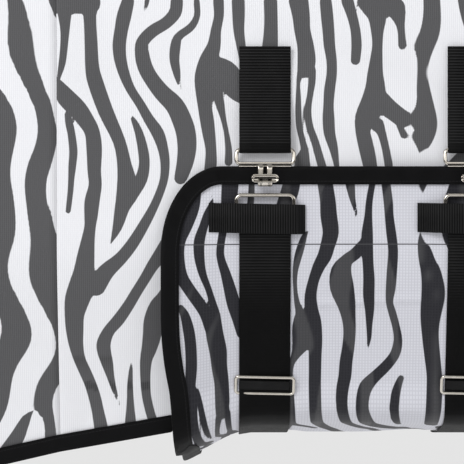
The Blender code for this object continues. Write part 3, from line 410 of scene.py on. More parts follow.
def weave_group():
    """A node group: the fine open weave of a mesh cloth, from the cloth's own map in metres."""
    group = bpy.data.node_groups.new("open_weave", "ShaderNodeTree")
    sockets = group.interface
    sockets.new_socket("Pitch", in_out="INPUT", socket_type="NodeSocketFloat")
    sockets.new_socket("Weft", in_out="INPUT", socket_type="NodeSocketFloat")
    sockets.new_socket("Holes", in_out="OUTPUT", socket_type="NodeSocketFloat")
    sockets.new_socket("Threads", in_out="OUTPUT", socket_type="NodeSocketFloat")
    nodes, links = group.nodes, group.links
    entry = nodes.new("NodeGroupInput")
    leave = nodes.new("NodeGroupOutput")
    chart = nodes.new("ShaderNodeUVMap")
    chart.uv_map = "weave"
    parts = nodes.new("ShaderNodeSeparateXYZ")
    links.new(chart.outputs[0], parts.inputs[0])
    waves = []
    for axis in ("X", "Y"):
        share = nodes.new("ShaderNodeMath")
        share.operation = "DIVIDE"
        links.new(parts.outputs[axis], share.inputs[0])
        links.new(entry.outputs["Pitch"], share.inputs[1])
        turn = nodes.new("ShaderNodeMath")
        turn.operation = "MULTIPLY"
        turn.inputs[1].default_value = 2 * math.pi
        links.new(share.outputs[0], turn.inputs[0])
        wave = nodes.new("ShaderNodeMath")
        wave.operation = "COSINE"
        links.new(turn.outputs[0], wave.inputs[0])
        level = nodes.new("ShaderNodeMath")
        level.operation = "MULTIPLY_ADD"
        level.inputs[1].default_value = 0.5
        level.inputs[2].default_value = 0.5
        links.new(wave.outputs[0], level.inputs[0])
        sharp = nodes.new("ShaderNodeMath")
        sharp.operation = "POWER"
        sharp.inputs[1].default_value = 3.0
        links.new(level.outputs[0], sharp.inputs[0])
        waves.append(sharp)
    weft = nodes.new("ShaderNodeMath")
    weft.operation = "MULTIPLY"
    links.new(waves[1].outputs[0], weft.inputs[0])
    links.new(entry.outputs["Weft"], weft.inputs[1])
    both = nodes.new("ShaderNodeMath")
    both.operation = "MAXIMUM"
    links.new(waves[0].outputs[0], both.inputs[0])
    links.new(weft.outputs[0], both.inputs[1])
    links.new(both.outputs[0], leave.inputs["Holes"])
    ground = nodes.new("ShaderNodeMath")
    ground.operation = "SUBTRACT"
    ground.inputs[0].default_value = 1.0
    links.new(both.outputs[0], ground.inputs[1])
    links.new(ground.outputs[0], leave.inputs["Threads"])
    return group


open_weave = weave_group()


def mix_colour(nodes, links, factor, first, second):
    """A colour mix node. Each of first and second is a colour or a socket."""
    mix = nodes.new("ShaderNodeMix")
    mix.data_type = "RGBA"
    links.new(factor, mix.inputs["Factor"])
    for value, socket in ((first, mix.inputs["A"]), (second, mix.inputs["B"])):
        if isinstance(value, tuple):
            socket.default_value = (*value, 1)
        else:
            links.new(value, socket)
    return mix.outputs["Result"]


def printed_mesh(name, white, white_hole, black, black_seen_through_and_shaded, black_hole, pitch, weft, hole_share):
    """Material: printed open-weave polyester. The print, what shows through it and its sewn line are the
    cloth's own attributes. What shows through deepens the blacks; on the body it also carries painted shade."""
    made = bpy.data.materials.new(name)
    made.use_nodes = True
    nodes, links = made.node_tree.nodes, made.node_tree.links
    shader = nodes["Principled BSDF"]
    masks = {}
    for attribute, low, high in (("stripe", -0.0004, 0.0004), ("behind", 0.0, 1.0), ("seam", 0.0003, 0.0007)):
        read = nodes.new("ShaderNodeAttribute")
        read.attribute_name = attribute
        edge = nodes.new("ShaderNodeMapRange")
        edge.interpolation_type = "SMOOTHSTEP"
        edge.inputs["From Min"].default_value = low
        edge.inputs["From Max"].default_value = high
        size = nodes.new("ShaderNodeMath")
        size.operation = "ABSOLUTE" if attribute == "seam" else "ADD"
        size.inputs[1].default_value = 0.0
        links.new(read.outputs["Fac"], size.inputs[0])
        links.new(size.outputs[0], edge.inputs["Value"])
        masks[attribute] = edge.outputs["Result"]
    weave = nodes.new("ShaderNodeGroup")
    weave.node_tree = open_weave
    weave.inputs["Pitch"].default_value = pitch
    weave.inputs["Weft"].default_value = weft
    cloudy = nodes.new("ShaderNodeTexNoise")
    cloudy.inputs["Scale"].default_value = 14.0
    cloudy.inputs["Detail"].default_value = 3.0
    place = nodes.new("ShaderNodeTexCoord")
    links.new(place.outputs["Object"], cloudy.inputs["Vector"])
    # The blacks deepen where a layer shows through the mesh; on the near body this mask also carries painted shade.
    blacks = mix_colour(nodes, links, masks["behind"], black, black_seen_through_and_shaded)
    whites = mix_colour(nodes, links, cloudy.outputs["Fac"], tuple(c * 0.95 for c in white), white)
    fade = nodes.new("ShaderNodeMath")
    fade.operation = "MULTIPLY"
    fade.inputs[1].default_value = hole_share
    links.new(weave.outputs["Holes"], fade.inputs[0])
    dark = mix_colour(nodes, links, fade.outputs[0], blacks, black_hole)
    pale = mix_colour(nodes, links, fade.outputs[0], whites, white_hole)
    colour = mix_colour(nodes, links, masks["stripe"], dark, pale)
    sewn = mix_colour(nodes, links, masks["seam"], (0.05, 0.05, 0.055), colour)
    links.new(sewn, shader.inputs["Base Color"])
    bump = nodes.new("ShaderNodeBump")
    bump.inputs["Strength"].default_value = 0.25
    bump.inputs["Distance"].default_value = 0.0004
    links.new(weave.outputs["Threads"], bump.inputs["Height"])
    links.new(bump.outputs[0], shader.inputs["Normal"])
    rough = nodes.new("ShaderNodeMapRange")
    rough.inputs["To Min"].default_value = 0.55
    rough.inputs["To Max"].default_value = 0.75
    links.new(cloudy.outputs["Fac"], rough.inputs["Value"])
    links.new(rough.outputs[0], shader.inputs["Roughness"])
    shader.inputs["Specular IOR Level"].default_value = 0.25
    shader.inputs["Sheen Weight"].default_value = 0.08
    shader.inputs["Sheen Roughness"].default_value = 0.5
    return made


body_mesh_finish = printed_mesh(
    "printed_mesh", (0.83, 0.835, 0.865), (0.62, 0.625, 0.66), (0.072, 0.072, 0.076), (0.022, 0.022, 0.024),
    (0.125, 0.125, 0.13), 0.0019, 0.35, 0.6,
)
flap_mesh_finish = printed_mesh(
    "flap_mesh", (0.66, 0.665, 0.72), (0.40, 0.40, 0.45), (0.058, 0.058, 0.062), (0.012, 0.012, 0.017),
    (0.030, 0.030, 0.036), 0.0029, 0.9, 0.45,
)


def cloth_grid(name, points, chart, attributes, finish, thickness=0.0009):
    """A smooth sheet of cloth through a grid of points, thickened inwards."""
    rows, columns = points.shape[:2]
    index = np.arange(rows * columns).reshape(rows, columns)
    corners = np.stack([index[:-1, :-1], index[:-1, 1:], index[1:, 1:], index[1:, :-1]], -1).reshape(-1, 4)
    mesh = bpy.data.meshes.new(name)
    mesh.from_pydata(points.reshape(-1, 3).tolist(), [], corners.tolist())
    flat = mesh.uv_layers.new(name="weave")
    uv = chart.reshape(-1, 2)[corners.reshape(-1)]
    flat.data.foreach_set("uv", uv.astype(np.float32).ravel())
    for label, values in attributes.items():
        held = mesh.attributes.new(label, "FLOAT", "POINT")
        held.data.foreach_set("value", values.astype(np.float32).ravel())
    made = bpy.data.objects.new(name, mesh)
    bpy.context.scene.collection.objects.link(made)
    mesh.materials.append(finish)
    mesh.shade_smooth()
    bpy.context.view_layer.objects.active = made
    wall = made.modifiers.new("wall", "SOLIDIFY")
    wall.thickness = thickness
    wall.offset = -1.0
    wall.use_even_offset = False
    bpy.ops.object.modifier_apply(modifier="wall")
    return made


def facing_out(points, outward):
    """The grid with its rows turned round if its faces would point inwards."""
    a = points[:-1, :-1]
    normal = np.cross(points[:-1, 1:] - a, points[1:, :-1] - a)
    return (normal * outward(a)).sum(-1).mean() > 0


def flip_if_needed(grids, points, outward):
    if facing_out(points, outward):
        return grids
    return [g[::-1] for g in grids]


def creases(across, down, seed, size):
    """Soft, shallow folds of cloth that hangs: 0 on the surface and down to -size inside it."""
    chance = np.random.RandomState(seed)
    sum_of = 0.0 * across
    for k in range(7):
        wide, tall = chance.uniform(9, 34), chance.uniform(3, 16)
        sum_of = sum_of + np.sin(across * wide + down * tall * (-1) ** k + chance.uniform(0, 6)) / 7
    return -size * smooth(0.5 + 0.9 * sum_of)


def length_down(surface, u, v):
    """Metres along the cloth from the widest line, down to the hem or, below zero, up to the back."""
    base = surface(u, v)
    steps = np.linalg.norm(np.diff(base, axis=0), axis=-1)
    length = np.concatenate([np.zeros((1, u.shape[1])), np.cumsum(steps, axis=0)])
    widest = np.abs(v[:, 0] - 1).argmin()
    return length - length[widest]


def edge_ease(share_from_edge, width):
    return smooth(share_from_edge / width)


def spaced(start, fine_start, fine_end, end, fine, coarse):
    """Values from start to end that are closer together between fine_start and fine_end."""
    stops = [(start, fine_start, coarse), (fine_start, fine_end, fine), (fine_end, end, coarse)]
    runs = [np.linspace(a, b, max(round(abs(b - a) / step), 1) + 1)[:-1] for a, b, step in stops]
    return np.concatenate([*runs, [end]])


def soft_folds(across, height):
    """Broad, slanting waves where the cloth is slack in front of the girth."""
    sum_of = 0.0 * across
    for level, slope, wide, size in ((-0.225, 0.30, 0.014, 0.0032), (-0.175, 0.22, 0.009, 0.0022),
                                     (-0.125, -0.12, 0.016, 0.0030), (-0.02, 0.35, 0.020, 0.0030),
                                     (0.075, 0.28, 0.022, 0.0030)):
        sum_of = sum_of - size * np.exp(-((height - level - slope * across) / wide) ** 2)
    return sum_of


FINE_FROM_X, FINE_TO_X = 0.405, 0.068
FINE_FROM_DOWN = 0.70
TOP_LENGTH = 0.53
SIDE_LENGTH = 0.37
# Where the near body's blacks are painted darker: partly the far layer seen through the mesh, partly painted shade.
BAND_TOP, BAND_LOW = 0.2150, 0.2250
BAND_FRONT, BAND_REAR = -0.178, -0.095
EASE_WIDTH = 0.05


def body_panel(name, side, fine, coarse, stripes, seed):
    """Half of the sheet. The cloth is meshed finely round the first closure, and a darker band below it is
    painted in its blacks: partly a second layer showing through the mesh, partly painted shade."""
    along = spaced(REAR_X, FINE_FROM_X, FINE_TO_X, SHOULDER_X, fine, coarse)
    upper = spaced(0, FINE_FROM_DOWN, 1, 1, fine / TOP_LENGTH, coarse / TOP_LENGTH)
    downs = np.concatenate([upper[upper < 1], np.linspace(1, 2, round(SIDE_LENGTH / fine))])
    u, v = np.meshgrid(along, downs)
    height = length_down(body_surface, u, v)
    edge = np.minimum.reduce([REAR_X - u, u - SHOULDER_X, (2 - v) * SIDE_LENGTH, v * 0.5])
    relief = (creases(u, height, seed, 0.004) + soft_folds(u - CLOSURE_X, height)) * edge_ease(edge, EASE_WIDTH)
    points = raised(body_surface, u, v, relief, (SHOULDER_X, REAR_X))
    across = u - CLOSURE_X
    down = FLAP_TOP - (WIDEST_Z - height)
    # Painted shade mixed with the far layer seen through the mesh: a narrow band, and a broader patch just above it
    # towards the front.
    band = smooth((down - BAND_TOP) / 0.0006) * smooth((BAND_LOW - down) / 0.0006)
    band = band * smooth((across - BAND_FRONT) / 0.004) * smooth((BAND_REAR - across) / 0.004)
    shade = np.maximum(0.75 * band, 0.55 * smooth((down - 0.185) / 0.006) * smooth((BAND_TOP - down) / 0.03)
                       * smooth((-0.13 - across) / 0.02))
    values = {"stripe": print_at(across, down, stripes, seed), "behind": shade * (stripes is not None),
              "seam": np.full(u.shape, 1.0)}
    if side > 0:
        points = points * np.array((1, -1, 1))
    chart = np.stack([u, height], -1)
    grids = [points, chart, *values.values()]
    grids = flip_if_needed(
        grids, points, lambda p: np.stack([p[..., 0] * 0, p[..., 1], p[..., 2] - WIDEST_Z], -1)
    )
    made = cloth_grid(name, grids[0], grids[1], dict(zip(values, grids[2:])), body_mesh_finish)
    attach(made, "sheet")
    return made


near_body = body_panel("near_body_cloth", -1, 0.0029, 0.0085, BODY_STRIPES, 3)
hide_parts("near_body_panel")
far_body = body_panel("far_body_cloth", 1, 0.0055, 0.0085, None, 8)
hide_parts("far_body_panel")

# ---- Chest panels ----
# Two pieces of the same mesh, sewn to the body panels at the shoulder, that meet at the chest closures.
# They are cut away round the neck.
CHEST_REACH = 0.52
NECK_LOW = np.array((-0.41, 0.0, -0.42))
NECK_HALF_WIDTH = 0.17
CHEST_WIDEST_Z = -0.50


def chest_outline(turn, z):
    angle = turn * math.pi / 2
    power = 2 / ROUNDNESS
    level = np.maximum(np.cos(angle), 0.0)
    x = SHOULDER_X - CHEST_REACH * np.sin(angle) ** power
    y = -half_width(SHOULDER_X) * level ** power
    inward = np.stack([SHOULDER_X - x, -y], -1)
    inward /= np.maximum(np.linalg.norm(inward, axis=-1, keepdims=True), 1e-9)
    draw = (drawn_in(z) * level ** 4)[..., None]
    return np.stack([x, y], -1) + inward * draw


def chest_surface(turn, down):
    """Points on the near chest panel: turn is 0 at the shoulder seam and 1 at the front."""
    turn, down = np.broadcast_arrays(np.asarray(turn, float), np.asarray(down, float))
    angle = turn * math.pi
    start = np.array((WITHERS_X, 0.0, float(back_height(WITHERS_X))))
    neck = start + (NECK_LOW - start) * ((1 - np.cos(angle)) / 2)[..., None]
    neck[..., 1] = -NECK_HALF_WIDTH * np.sin(angle)
    widest = WIDEST_Z + (CHEST_WIDEST_Z - WIDEST_Z) * smooth(turn)
    out, drop = round_section(np.clip(down, 0, 1))
    side = chest_outline(turn, widest)
    upper = np.concatenate([
        neck[..., :2] + (side - neck[..., :2]) * out[..., None],
        (neck[..., 2] + (widest - neck[..., 2]) * drop)[..., None],
    ], -1)
    z = widest + (hem_height(side[..., 0]) - widest) * (down - 1)
    lower = np.concatenate([chest_outline(turn, z), z[..., None]], -1)
    return np.where((down <= 1)[..., None], upper, lower)


def chest_panel(name, side, step, seed):
    turns = np.linspace(0.0, 1, round(0.78 / step))
    downs = np.concatenate([np.linspace(0, 1, round(0.42 / step)), np.linspace(1, 2, round(0.38 / step))[1:]])
    u, v = np.meshgrid(turns, downs)
    base = chest_surface(u, v)
    around = np.concatenate(
        [u[:, :1] * 0, np.cumsum(np.linalg.norm(np.diff(base, axis=1), axis=-1), axis=1)], axis=1
    )
    height = length_down(chest_surface, u, v)
    edge = np.minimum.reduce([u * 0.72, (1 - u) * 0.72 - 0.03, (2 - v) * 0.37, v * 0.42])
    points = raised(chest_surface, u, v, creases(around, height, seed, 0.002) * edge_ease(edge, 0.05))
    across = SHOULDER_X - around - CLOSURE_X
    down = FLAP_TOP - (WIDEST_Z - height)
    values = {"stripe": print_at(across, down, None, seed), "behind": u * 0, "seam": u * 0 + 1}
    if side > 0:
        points = points * np.array((1, -1, 1))
    chart = np.stack([around, height], -1)
    grids = flip_if_needed(
        [points, chart, *values.values()], points,
        lambda p: np.stack([p[..., 0] - SHOULDER_X, p[..., 1], p[..., 2] * 0], -1),
    )
    made = cloth_grid(name, grids[0], grids[1], dict(zip(values, grids[2:])), body_mesh_finish)
    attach(made, "sheet")
    return made


near_chest = chest_panel("near_chest_cloth", -1, 0.0055, 3)
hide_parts("near_chest_panel")
far_chest = chest_panel("far_chest_cloth", 1, 0.0075, 8)
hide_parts("far_chest_panel")

# ---- Belly flap ----
# A second piece of mesh, with a coarser weave. It is sewn to the far side, passes under the belly
# and comes up over the near side, where its corners are rounded and it closes with the T-hooks.
FLAP_LIFT = 0.0022
CORNER_LONG = 0.0576
CORNER_TALL = 0.0816
FLAP_SEAM_Z = -0.54
TUCK_TOP = -0.681
TUCK_RADIUS = 0.045
TUCK_ANGLE = math.radians(80)
LOOSE = 0.026
LOOSE_LENGTH = 0.088
NARROWING = 0.019
SAG = 0.015
CORNER_SAG = 0.007


def belly_line():
    """Rows of (y, z, lean) down the near side, under the belly and up to the far seam."""
    step = 0.002
    y, z, lean = -HALF_WIDTH, FLAP_TOP, 0.0
    rows = []
    while z > TUCK_TOP:
        rows.append((y, z, lean))
        lean = math.atan(LEAN_SLOPE * min(max((LEAN_TOP - z) / LEAN_LENGTH, 0.0), 1.0))
        y += math.sin(lean) * step
        z -= math.cos(lean) * step
    while lean < TUCK_ANGLE:
        rows.append((y, z, lean))
        lean += step / TUCK_RADIUS
        y += math.sin(lean) * step
        z -= math.cos(lean) * step
    radius = -y / math.cos(lean)
    turn = (math.pi / 2 - lean) / 40
    for _ in range(40):
        rows.append((y, z, lean))
        lean += turn
        y += math.sin(lean - turn / 2) * radius * turn
        z -= math.cos(lean - turn / 2) * radius * turn
    far = [(-y, z, math.pi - lean) for y, z, lean in reversed(rows) if z <= FLAP_SEAM_Z]
    return np.array(rows + [(0.0, z, math.pi / 2)] + far)


BELLY = belly_line()
BELLY_LENGTHS = np.concatenate([[0.0], np.cumsum(np.hypot(np.diff(BELLY[:, 0]), np.diff(BELLY[:, 1])))])
FLAP_LENGTH = float(BELLY_LENGTHS[-1])
DROP_SHARE = np.maximum(np.cos(BELLY[:, 2]), 0.45)
DROPS = np.concatenate([[0.0], np.cumsum(np.diff(BELLY_LENGTHS) * (DROP_SHARE[1:] + DROP_SHARE[:-1]) / 2)])


def belly_at(length):
    return [np.interp(length, BELLY_LENGTHS, BELLY[:, k]) for k in range(3)]


def flap_narrowing(length):
    length = np.asarray(length, float)
    rise = np.clip(1 - length / CORNER_TALL, 0, 1)
    corner = CORNER_LONG * (1 - np.sqrt(1 - rise ** 2))
    y, z, lean = belly_at(length)
    low = np.where(lean >= TUCK_ANGLE, 1.0, smooth(np.maximum(-0.60 - z, 0.0) / 0.157) ** 1.5)
    return corner + NARROWING * low


def flap_surface(x, length, lift):
    """Points on the flap that far from its top edge, and that far outside the side panel."""
    x, length, lift = np.broadcast_arrays(*(np.asarray(a, float) for a in (x, length, lift)))
    y, z, lean = belly_at(length)
    edge = np.minimum(x - FLAP_FRONT_X, FLAP_REAR_X - x)
    low = np.where(
        lean > math.pi / 2, smooth((FLAP_LENGTH - length) / 0.25), smooth((FLAP_TOP - 0.02 - z) / 0.17)
    )
    out = lift + LOOSE * (1 - smooth(edge / LOOSE_LENGTH)) * low
    sag = SAG + CORNER_SAG * (1 - smooth(edge / LOOSE_LENGTH))
    out = out + sag * smooth((lean - 0.40) / 0.55) * smooth((FLAP_LENGTH - length) / 0.30)
    return np.stack([x, y - np.cos(lean) * out, z - np.sin(lean) * out], -1)


SEAM_DOWN = 0.0735
BELLY_CLOSURES_X = (0.265, 0.465, 0.665)


def flap_relief(x, length):
    """Puckers under the sewn line, one cross crease and soft hollows, none of them under the straps."""
    across = x - CLOSURE_X
    clear = np.minimum.reduce([np.abs(x - c) for c in BELLY_CLOSURES_X])
    free = smooth((clear - 0.028) / 0.02) * smooth((length - 0.02) / 0.03)
    edge = np.minimum(x - FLAP_FRONT_X, FLAP_REAR_X - x)
    free = free * smooth((edge - 0.017) / 0.02)
    below = length - SEAM_DOWN
    pucker = np.sin(across * 190) * 0.6 + np.sin(across * 83 + 1) * 0.4
    relief = 0.0011 * pucker * smooth(below / 0.004) * (1 - smooth(below / 0.06))
    relief = relief - 0.0007 * np.exp(-(below / 0.0022) ** 2)
    fold = length - 0.1345 + 0.05 * across
    relief = relief + 0.0018 * np.exp(-(fold / 0.004) ** 2) * smooth((across - 0.03) / 0.01)
    relief = relief + creases(x, length, 12, 0.0035) + 0.0016
    return relief * free


def make_flap_cloth():
    lengths = spaced(0, 0, 0.34, FLAP_LENGTH, 0.0025, 0.0075)
    inward = flap_narrowing(lengths)[:, None]
    shares = spaced(0, 0, 0.4, 1, 0.0042, 0.014)[None, :]
    x = FLAP_FRONT_X + inward + (FLAP_REAR_X - FLAP_FRONT_X - 2 * inward) * shares
    length = np.broadcast_to(lengths[:, None], x.shape)
    points = flap_surface(x, length, FLAP_LIFT + CLOTH + flap_relief(x, length) - 0.0002)
    down = np.interp(length, BELLY_LENGTHS, DROPS)
    across = x - CLOSURE_X
    under = print_at(across + 0.013, down - 0.02, None, 5)
    values = {
        "stripe": print_at(across, down, FLAP_STRIPES, 5),
        "behind": smooth(0.5 - (under - 0.0042) / 0.003),
        "seam": length - SEAM_DOWN,
    }
    chart = np.stack([x, length], -1)
    grids = flip_if_needed(
        [points, chart, *values.values()], points,
        lambda p: np.stack([p[..., 0] * 0, p[..., 1], p[..., 2] + 0.5], -1),
    )
    made = cloth_grid("flap_cloth", grids[0], grids[1], dict(zip(values, grids[2:])), flap_mesh_finish)
    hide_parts("flap_panel")
    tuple(FLAP_BEND[0])
    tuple(FLAP_BEND[1])
    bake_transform(made)
    return made


FLAP_BEND = ((0.465, 0.3135, -0.54), (0.465, 0.2735, -0.59))
flap_cloth = make_flap_cloth()


# ---- Edge bindings ----
# Thin black woven tape, folded over each raw edge of the cloth and sewn through near its inner edge.
# It runs along the hems, the rear and chest edges, the neck, and round the belly flap.
BINDING_WIDTH = 0.0165
BINDING = 0.0012


def black_weave(name, shade, pitch, roughness, stitch_at=None, rib_shading=False):
    """Material: matt black woven tape with fine threads across it. Its map is in metres, (along, across)."""
    made = bpy.data.materials.new(name)
    made.use_nodes = True
    nodes, links = made.node_tree.nodes, made.node_tree.links
    shader = nodes["Principled BSDF"]
    chart = nodes.new("ShaderNodeUVMap")
    chart.uv_map = "weave"
    threads = nodes.new("ShaderNodeTexWave")
    threads.inputs["Scale"].default_value = 2 * math.pi / (20 * pitch)
    threads.inputs["Distortion"].default_value = 0.6
    links.new(chart.outputs[0], threads.inputs["Vector"])
    worn = nodes.new("ShaderNodeTexNoise")
    worn.inputs["Scale"].default_value = 60.0
    worn.inputs["Detail"].default_value = 4.0
    links.new(chart.outputs[0], worn.inputs["Vector"])
    colour = mix_colour(
        nodes, links, worn.outputs["Fac"], tuple(c * 0.6 for c in shade), tuple(c * 1.5 for c in shade)
    )
    # Painted light and shade on ribbed webbing: the rib attribute darkens the colour to near black in the grooves
    # between the ribs, keeps it on their lit tops, and lowers it where a strap is painted darker.
    if rib_shading:
        ribs = nodes.new("ShaderNodeAttribute")
        ribs.attribute_name = "rib"
        colour = mix_colour(nodes, links, ribs.outputs["Fac"], (0.0006, 0.0006, 0.0007), colour)
    height = threads.outputs["Fac"]
    if stitch_at is not None:
        parts = nodes.new("ShaderNodeSeparateXYZ")
        links.new(chart.outputs[0], parts.inputs[0])
        along = math_chain(nodes, links, parts.outputs["X"], ("MULTIPLY", 1 / 0.0034), ("FRACT", 0),
                           ("LESS_THAN", 0.7))
        across = math_chain(nodes, links, parts.outputs["Y"], ("SUBTRACT", stitch_at), ("ABSOLUTE", 0),
                            ("LESS_THAN", 0.00035))
        stitch = nodes.new("ShaderNodeMath")
        stitch.operation = "MULTIPLY"
        links.new(along, stitch.inputs[0])
        links.new(across, stitch.inputs[1])
        colour = mix_colour(nodes, links, stitch.outputs[0], colour, (0.014, 0.014, 0.015))
        raised_stitch = nodes.new("ShaderNodeMath")
        raised_stitch.operation = "ADD"
        links.new(stitch.outputs[0], raised_stitch.inputs[0])
        links.new(height, raised_stitch.inputs[1])
        height = raised_stitch.outputs[0]
    links.new(colour, shader.inputs["Base Color"])
    bump = nodes.new("ShaderNodeBump")
    bump.inputs["Strength"].default_value = 0.35
    bump.inputs["Distance"].default_value = 0.0003
    links.new(height, bump.inputs["Height"])
    links.new(bump.outputs[0], shader.inputs["Normal"])
    rough = nodes.new("ShaderNodeMapRange")
    rough.inputs["To Min"].default_value = roughness - 0.08
    rough.inputs["To Max"].default_value = roughness + 0.08
    links.new(worn.outputs["Fac"], rough.inputs["Value"])
    links.new(rough.outputs[0], shader.inputs["Roughness"])
    shader.inputs["Specular IOR Level"].default_value = 0.08
    return made


def math_chain(nodes, links, socket, *steps):
    """The socket after each (operation, value) in turn."""
    for operation, value in steps:
        node = nodes.new("ShaderNodeMath")
        node.operation = operation
        node.inputs[1].default_value = value
        links.new(socket, node.inputs[0])
        socket = node.outputs[0]
    return socket


binding_finish = black_weave("binding_tape", (0.0032, 0.0032, 0.0036), 0.0009, 0.5, 0.0135)


def signed_volume(points, faces):
    """Six times the volume inside the faces, below zero if they face inwards."""
    total = 0.0
    for face in faces:
        corner = points[face]
        total += np.einsum("j,ij->", corner[0], np.cross(corner[1:-1], corner[2:]))
    return total


def swept(name, rings, chart, finish, angle=40, ribs=None):
    """A solid through closed rings of points, one after the other, with both ends capped. ribs is painted light
    and shade: 1 on each ring's lit rib top, 0 in the shaded groove, lower where the strap is painted darker."""
    count, around = rings.shape[:2]
    index = np.arange(count * around).reshape(count, around)
    after = np.roll(index, -1, axis=1)
    sides = np.stack([index[:-1], after[:-1], after[1:], index[1:]], -1).reshape(-1, 4)
    faces = [*sides.tolist(), index[0, ::-1].tolist(), index[-1].tolist()]
    points = rings.reshape(-1, 3)
    if signed_volume(points - points.mean(0), faces) < 0:
        faces = [face[::-1] for face in faces]
    mesh = bpy.data.meshes.new(name)
    mesh.from_pydata(points.tolist(), [], faces)
    flat = mesh.uv_layers.new(name="weave")
    uv = chart.reshape(-1, 2)[[corner for face in faces for corner in face]]
    flat.data.foreach_set("uv", uv.astype(np.float32).ravel())
    made = bpy.data.objects.new(name, mesh)
    bpy.context.scene.collection.objects.link(made)
    mesh.materials.append(finish)
    if ribs is not None:
        held = mesh.attributes.new("rib", "FLOAT", "POINT")
        held.data.foreach_set("value", np.repeat(ribs, around).astype(np.float32))
    bpy.context.view_layer.objects.active = made
    made.select_set(True)
    bpy.ops.object.shade_smooth_by_angle(angle=math.radians(angle))
    made.select_set(False)
    return made


def folded_tape(name, place, stations, low, high):
    """Tape folded over an edge. place(station, inwards, lift) gives points, inwards from the edge; low and high
    are the lifts of the tape's back and front."""
    wide, thick, beyond = BINDING_WIDTH, BINDING * 0.8, 0.0011
    middle = (low + high) / 2
    loop = [(wide, high - 0.0002), (wide - 0.0004, high), (wide * 0.78, high - 0.0002), (wide * 0.5, high),
            (wide * 0.2, high), (0.0006, high), (-beyond * 0.7, high - 0.0006), (-beyond, middle),
            (-beyond * 0.7, low + 0.0006), (0.0006, low), (wide * 0.5, low), (wide - 0.0006, low),
            (wide - 0.0006, low + thick * 0.6), (0.0012, low + thick * 0.6), (0.0002, middle),
            (0.0012, high - thick), (wide * 0.5, high - thick), (wide, high - thick)]
    rings = []
    edge, inside = place(stations, 0.0, 0.0), place(stations, 0.001, 0.0)
    outward = edge - inside
    outward /= np.maximum(np.linalg.norm(outward, axis=-1, keepdims=True), 1e-9)
    for inwards, lift in loop:
        base = place(stations, max(inwards, 0.0), lift)
        rings.append(base + outward * max(-inwards, 0.0))
    rings = np.stack(rings, 1)
    length = np.concatenate([[0], np.cumsum(np.linalg.norm(np.diff(edge, axis=0), axis=1))])
    across = np.array([inwards for inwards, _ in loop])
    chart = np.stack(np.broadcast_arrays(length[:, None], across[None, :]), -1)
    return swept(name, rings, chart, binding_finish)


def hem_place(station, inwards, lift):
    """Stations from 0 at the rear edge to 1 at the shoulder seam, then on to 2 at the chest edge."""
    x = REAR_X + (SHOULDER_X - REAR_X) * np.minimum(station, 1)
    down = 2 - inwards / (WIDEST_Z - hem_height(x))
    body = raised(body_surface, x, down, station * 0 + lift, (SHOULDER_X, REAR_X))
    turn = np.clip(station - 1, 0, 1)
    widest = WIDEST_Z + (CHEST_WIDEST_Z - WIDEST_Z) * smooth(turn)
    low = hem_height(chest_surface(turn, 2.0)[..., 0])
    clear = lift + 3 * GAP * np.sin(math.pi * turn) * np.sign(lift)
    chest = raised(chest_surface, turn, 2 - inwards / (widest - low), clear)
    return np.where((station <= 1)[:, None], body, chest)


def rear_place(station, inwards, lift):
    return raised(
        body_surface, station * 0 + REAR_X - inwards, station, station * 0 + lift, (SHOULDER_X, REAR_X)
    )


def chest_edge_place(station, inwards, lift):
    turn = math.acos((inwards / float(half_width(SHOULDER_X))) ** (ROUNDNESS / 2)) * 2 / math.pi
    return raised(chest_surface, station * 0 + turn, station, station * 0 + lift)


def neck_place(station, inwards, lift):
    shares = np.linspace(0, 0.6, 121)
    line = chest_surface(station[:, None], shares[None, :])
    reach = np.linalg.norm(line - line[:, :1], axis=-1)
    down = np.array([np.interp(inwards, row, shares) for row in np.maximum.accumulate(reach, axis=1)])
    return raised(chest_surface, station, down, station * 0 + lift)


def bind_sides(kind, place, stations, low, high):
    """The same binding on the near and far sides."""
    def far(station, inwards, lift):
        return place(station, inwards, lift) * np.array((1, -1, 1))
    for side, way in (("near", place), ("far", far)):
        made = folded_tape(f"{side}_{kind}_tape", way, stations, low, high)
        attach(made, "sheet")
        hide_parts(f"{side}_{kind}_binding")
        edge_tapes[side].append(made)


edge_tapes = {"near": [], "far": []}
hem_stations = np.concatenate([np.linspace(0, 1, 150)[:-1], np.linspace(1, 2, 90)])
bind_sides("hem", hem_place, hem_stations, -0.0022, GAP + BINDING)
bind_sides("rear", rear_place, np.linspace(0.42, 1.93, 110), -0.0022, GAP + BINDING)
bind_sides("chest_edge", chest_edge_place, np.linspace(0.34, 1.92, 90), -0.0022, GAP + BINDING)
bind_sides("neck", neck_place, np.linspace(0.05, 1, 90), -0.0016, 5 * GAP + BINDING)


def flap_edge_line():
    """(x, length) from the flap's front far corner, round its near edge, to its rear far corner."""
    lengths = np.concatenate(
        [np.linspace(0, CORNER_TALL, 40), np.linspace(CORNER_TALL, FLAP_LENGTH - 0.006, 190)[1:]]
    )
    lengths[:40] = CORNER_TALL * (1 - np.cos(np.linspace(0, math.pi / 2, 40)))
    inward = flap_narrowing(lengths)
    front = np.stack([FLAP_FRONT_X + inward, lengths], -1)
    rear = np.stack([FLAP_REAR_X - inward, lengths], -1)
    top = np.linspace(front[0, 0], rear[0, 0], 120)[1:-1]
    return np.vstack([front[::-1], np.stack([top, top * 0], -1), rear])


FLAP_EDGE = flap_edge_line()
FLAP_EDGE_RUN = np.gradient(FLAP_EDGE, axis=0)
FLAP_EDGE_RUN /= np.linalg.norm(FLAP_EDGE_RUN, axis=1, keepdims=True)


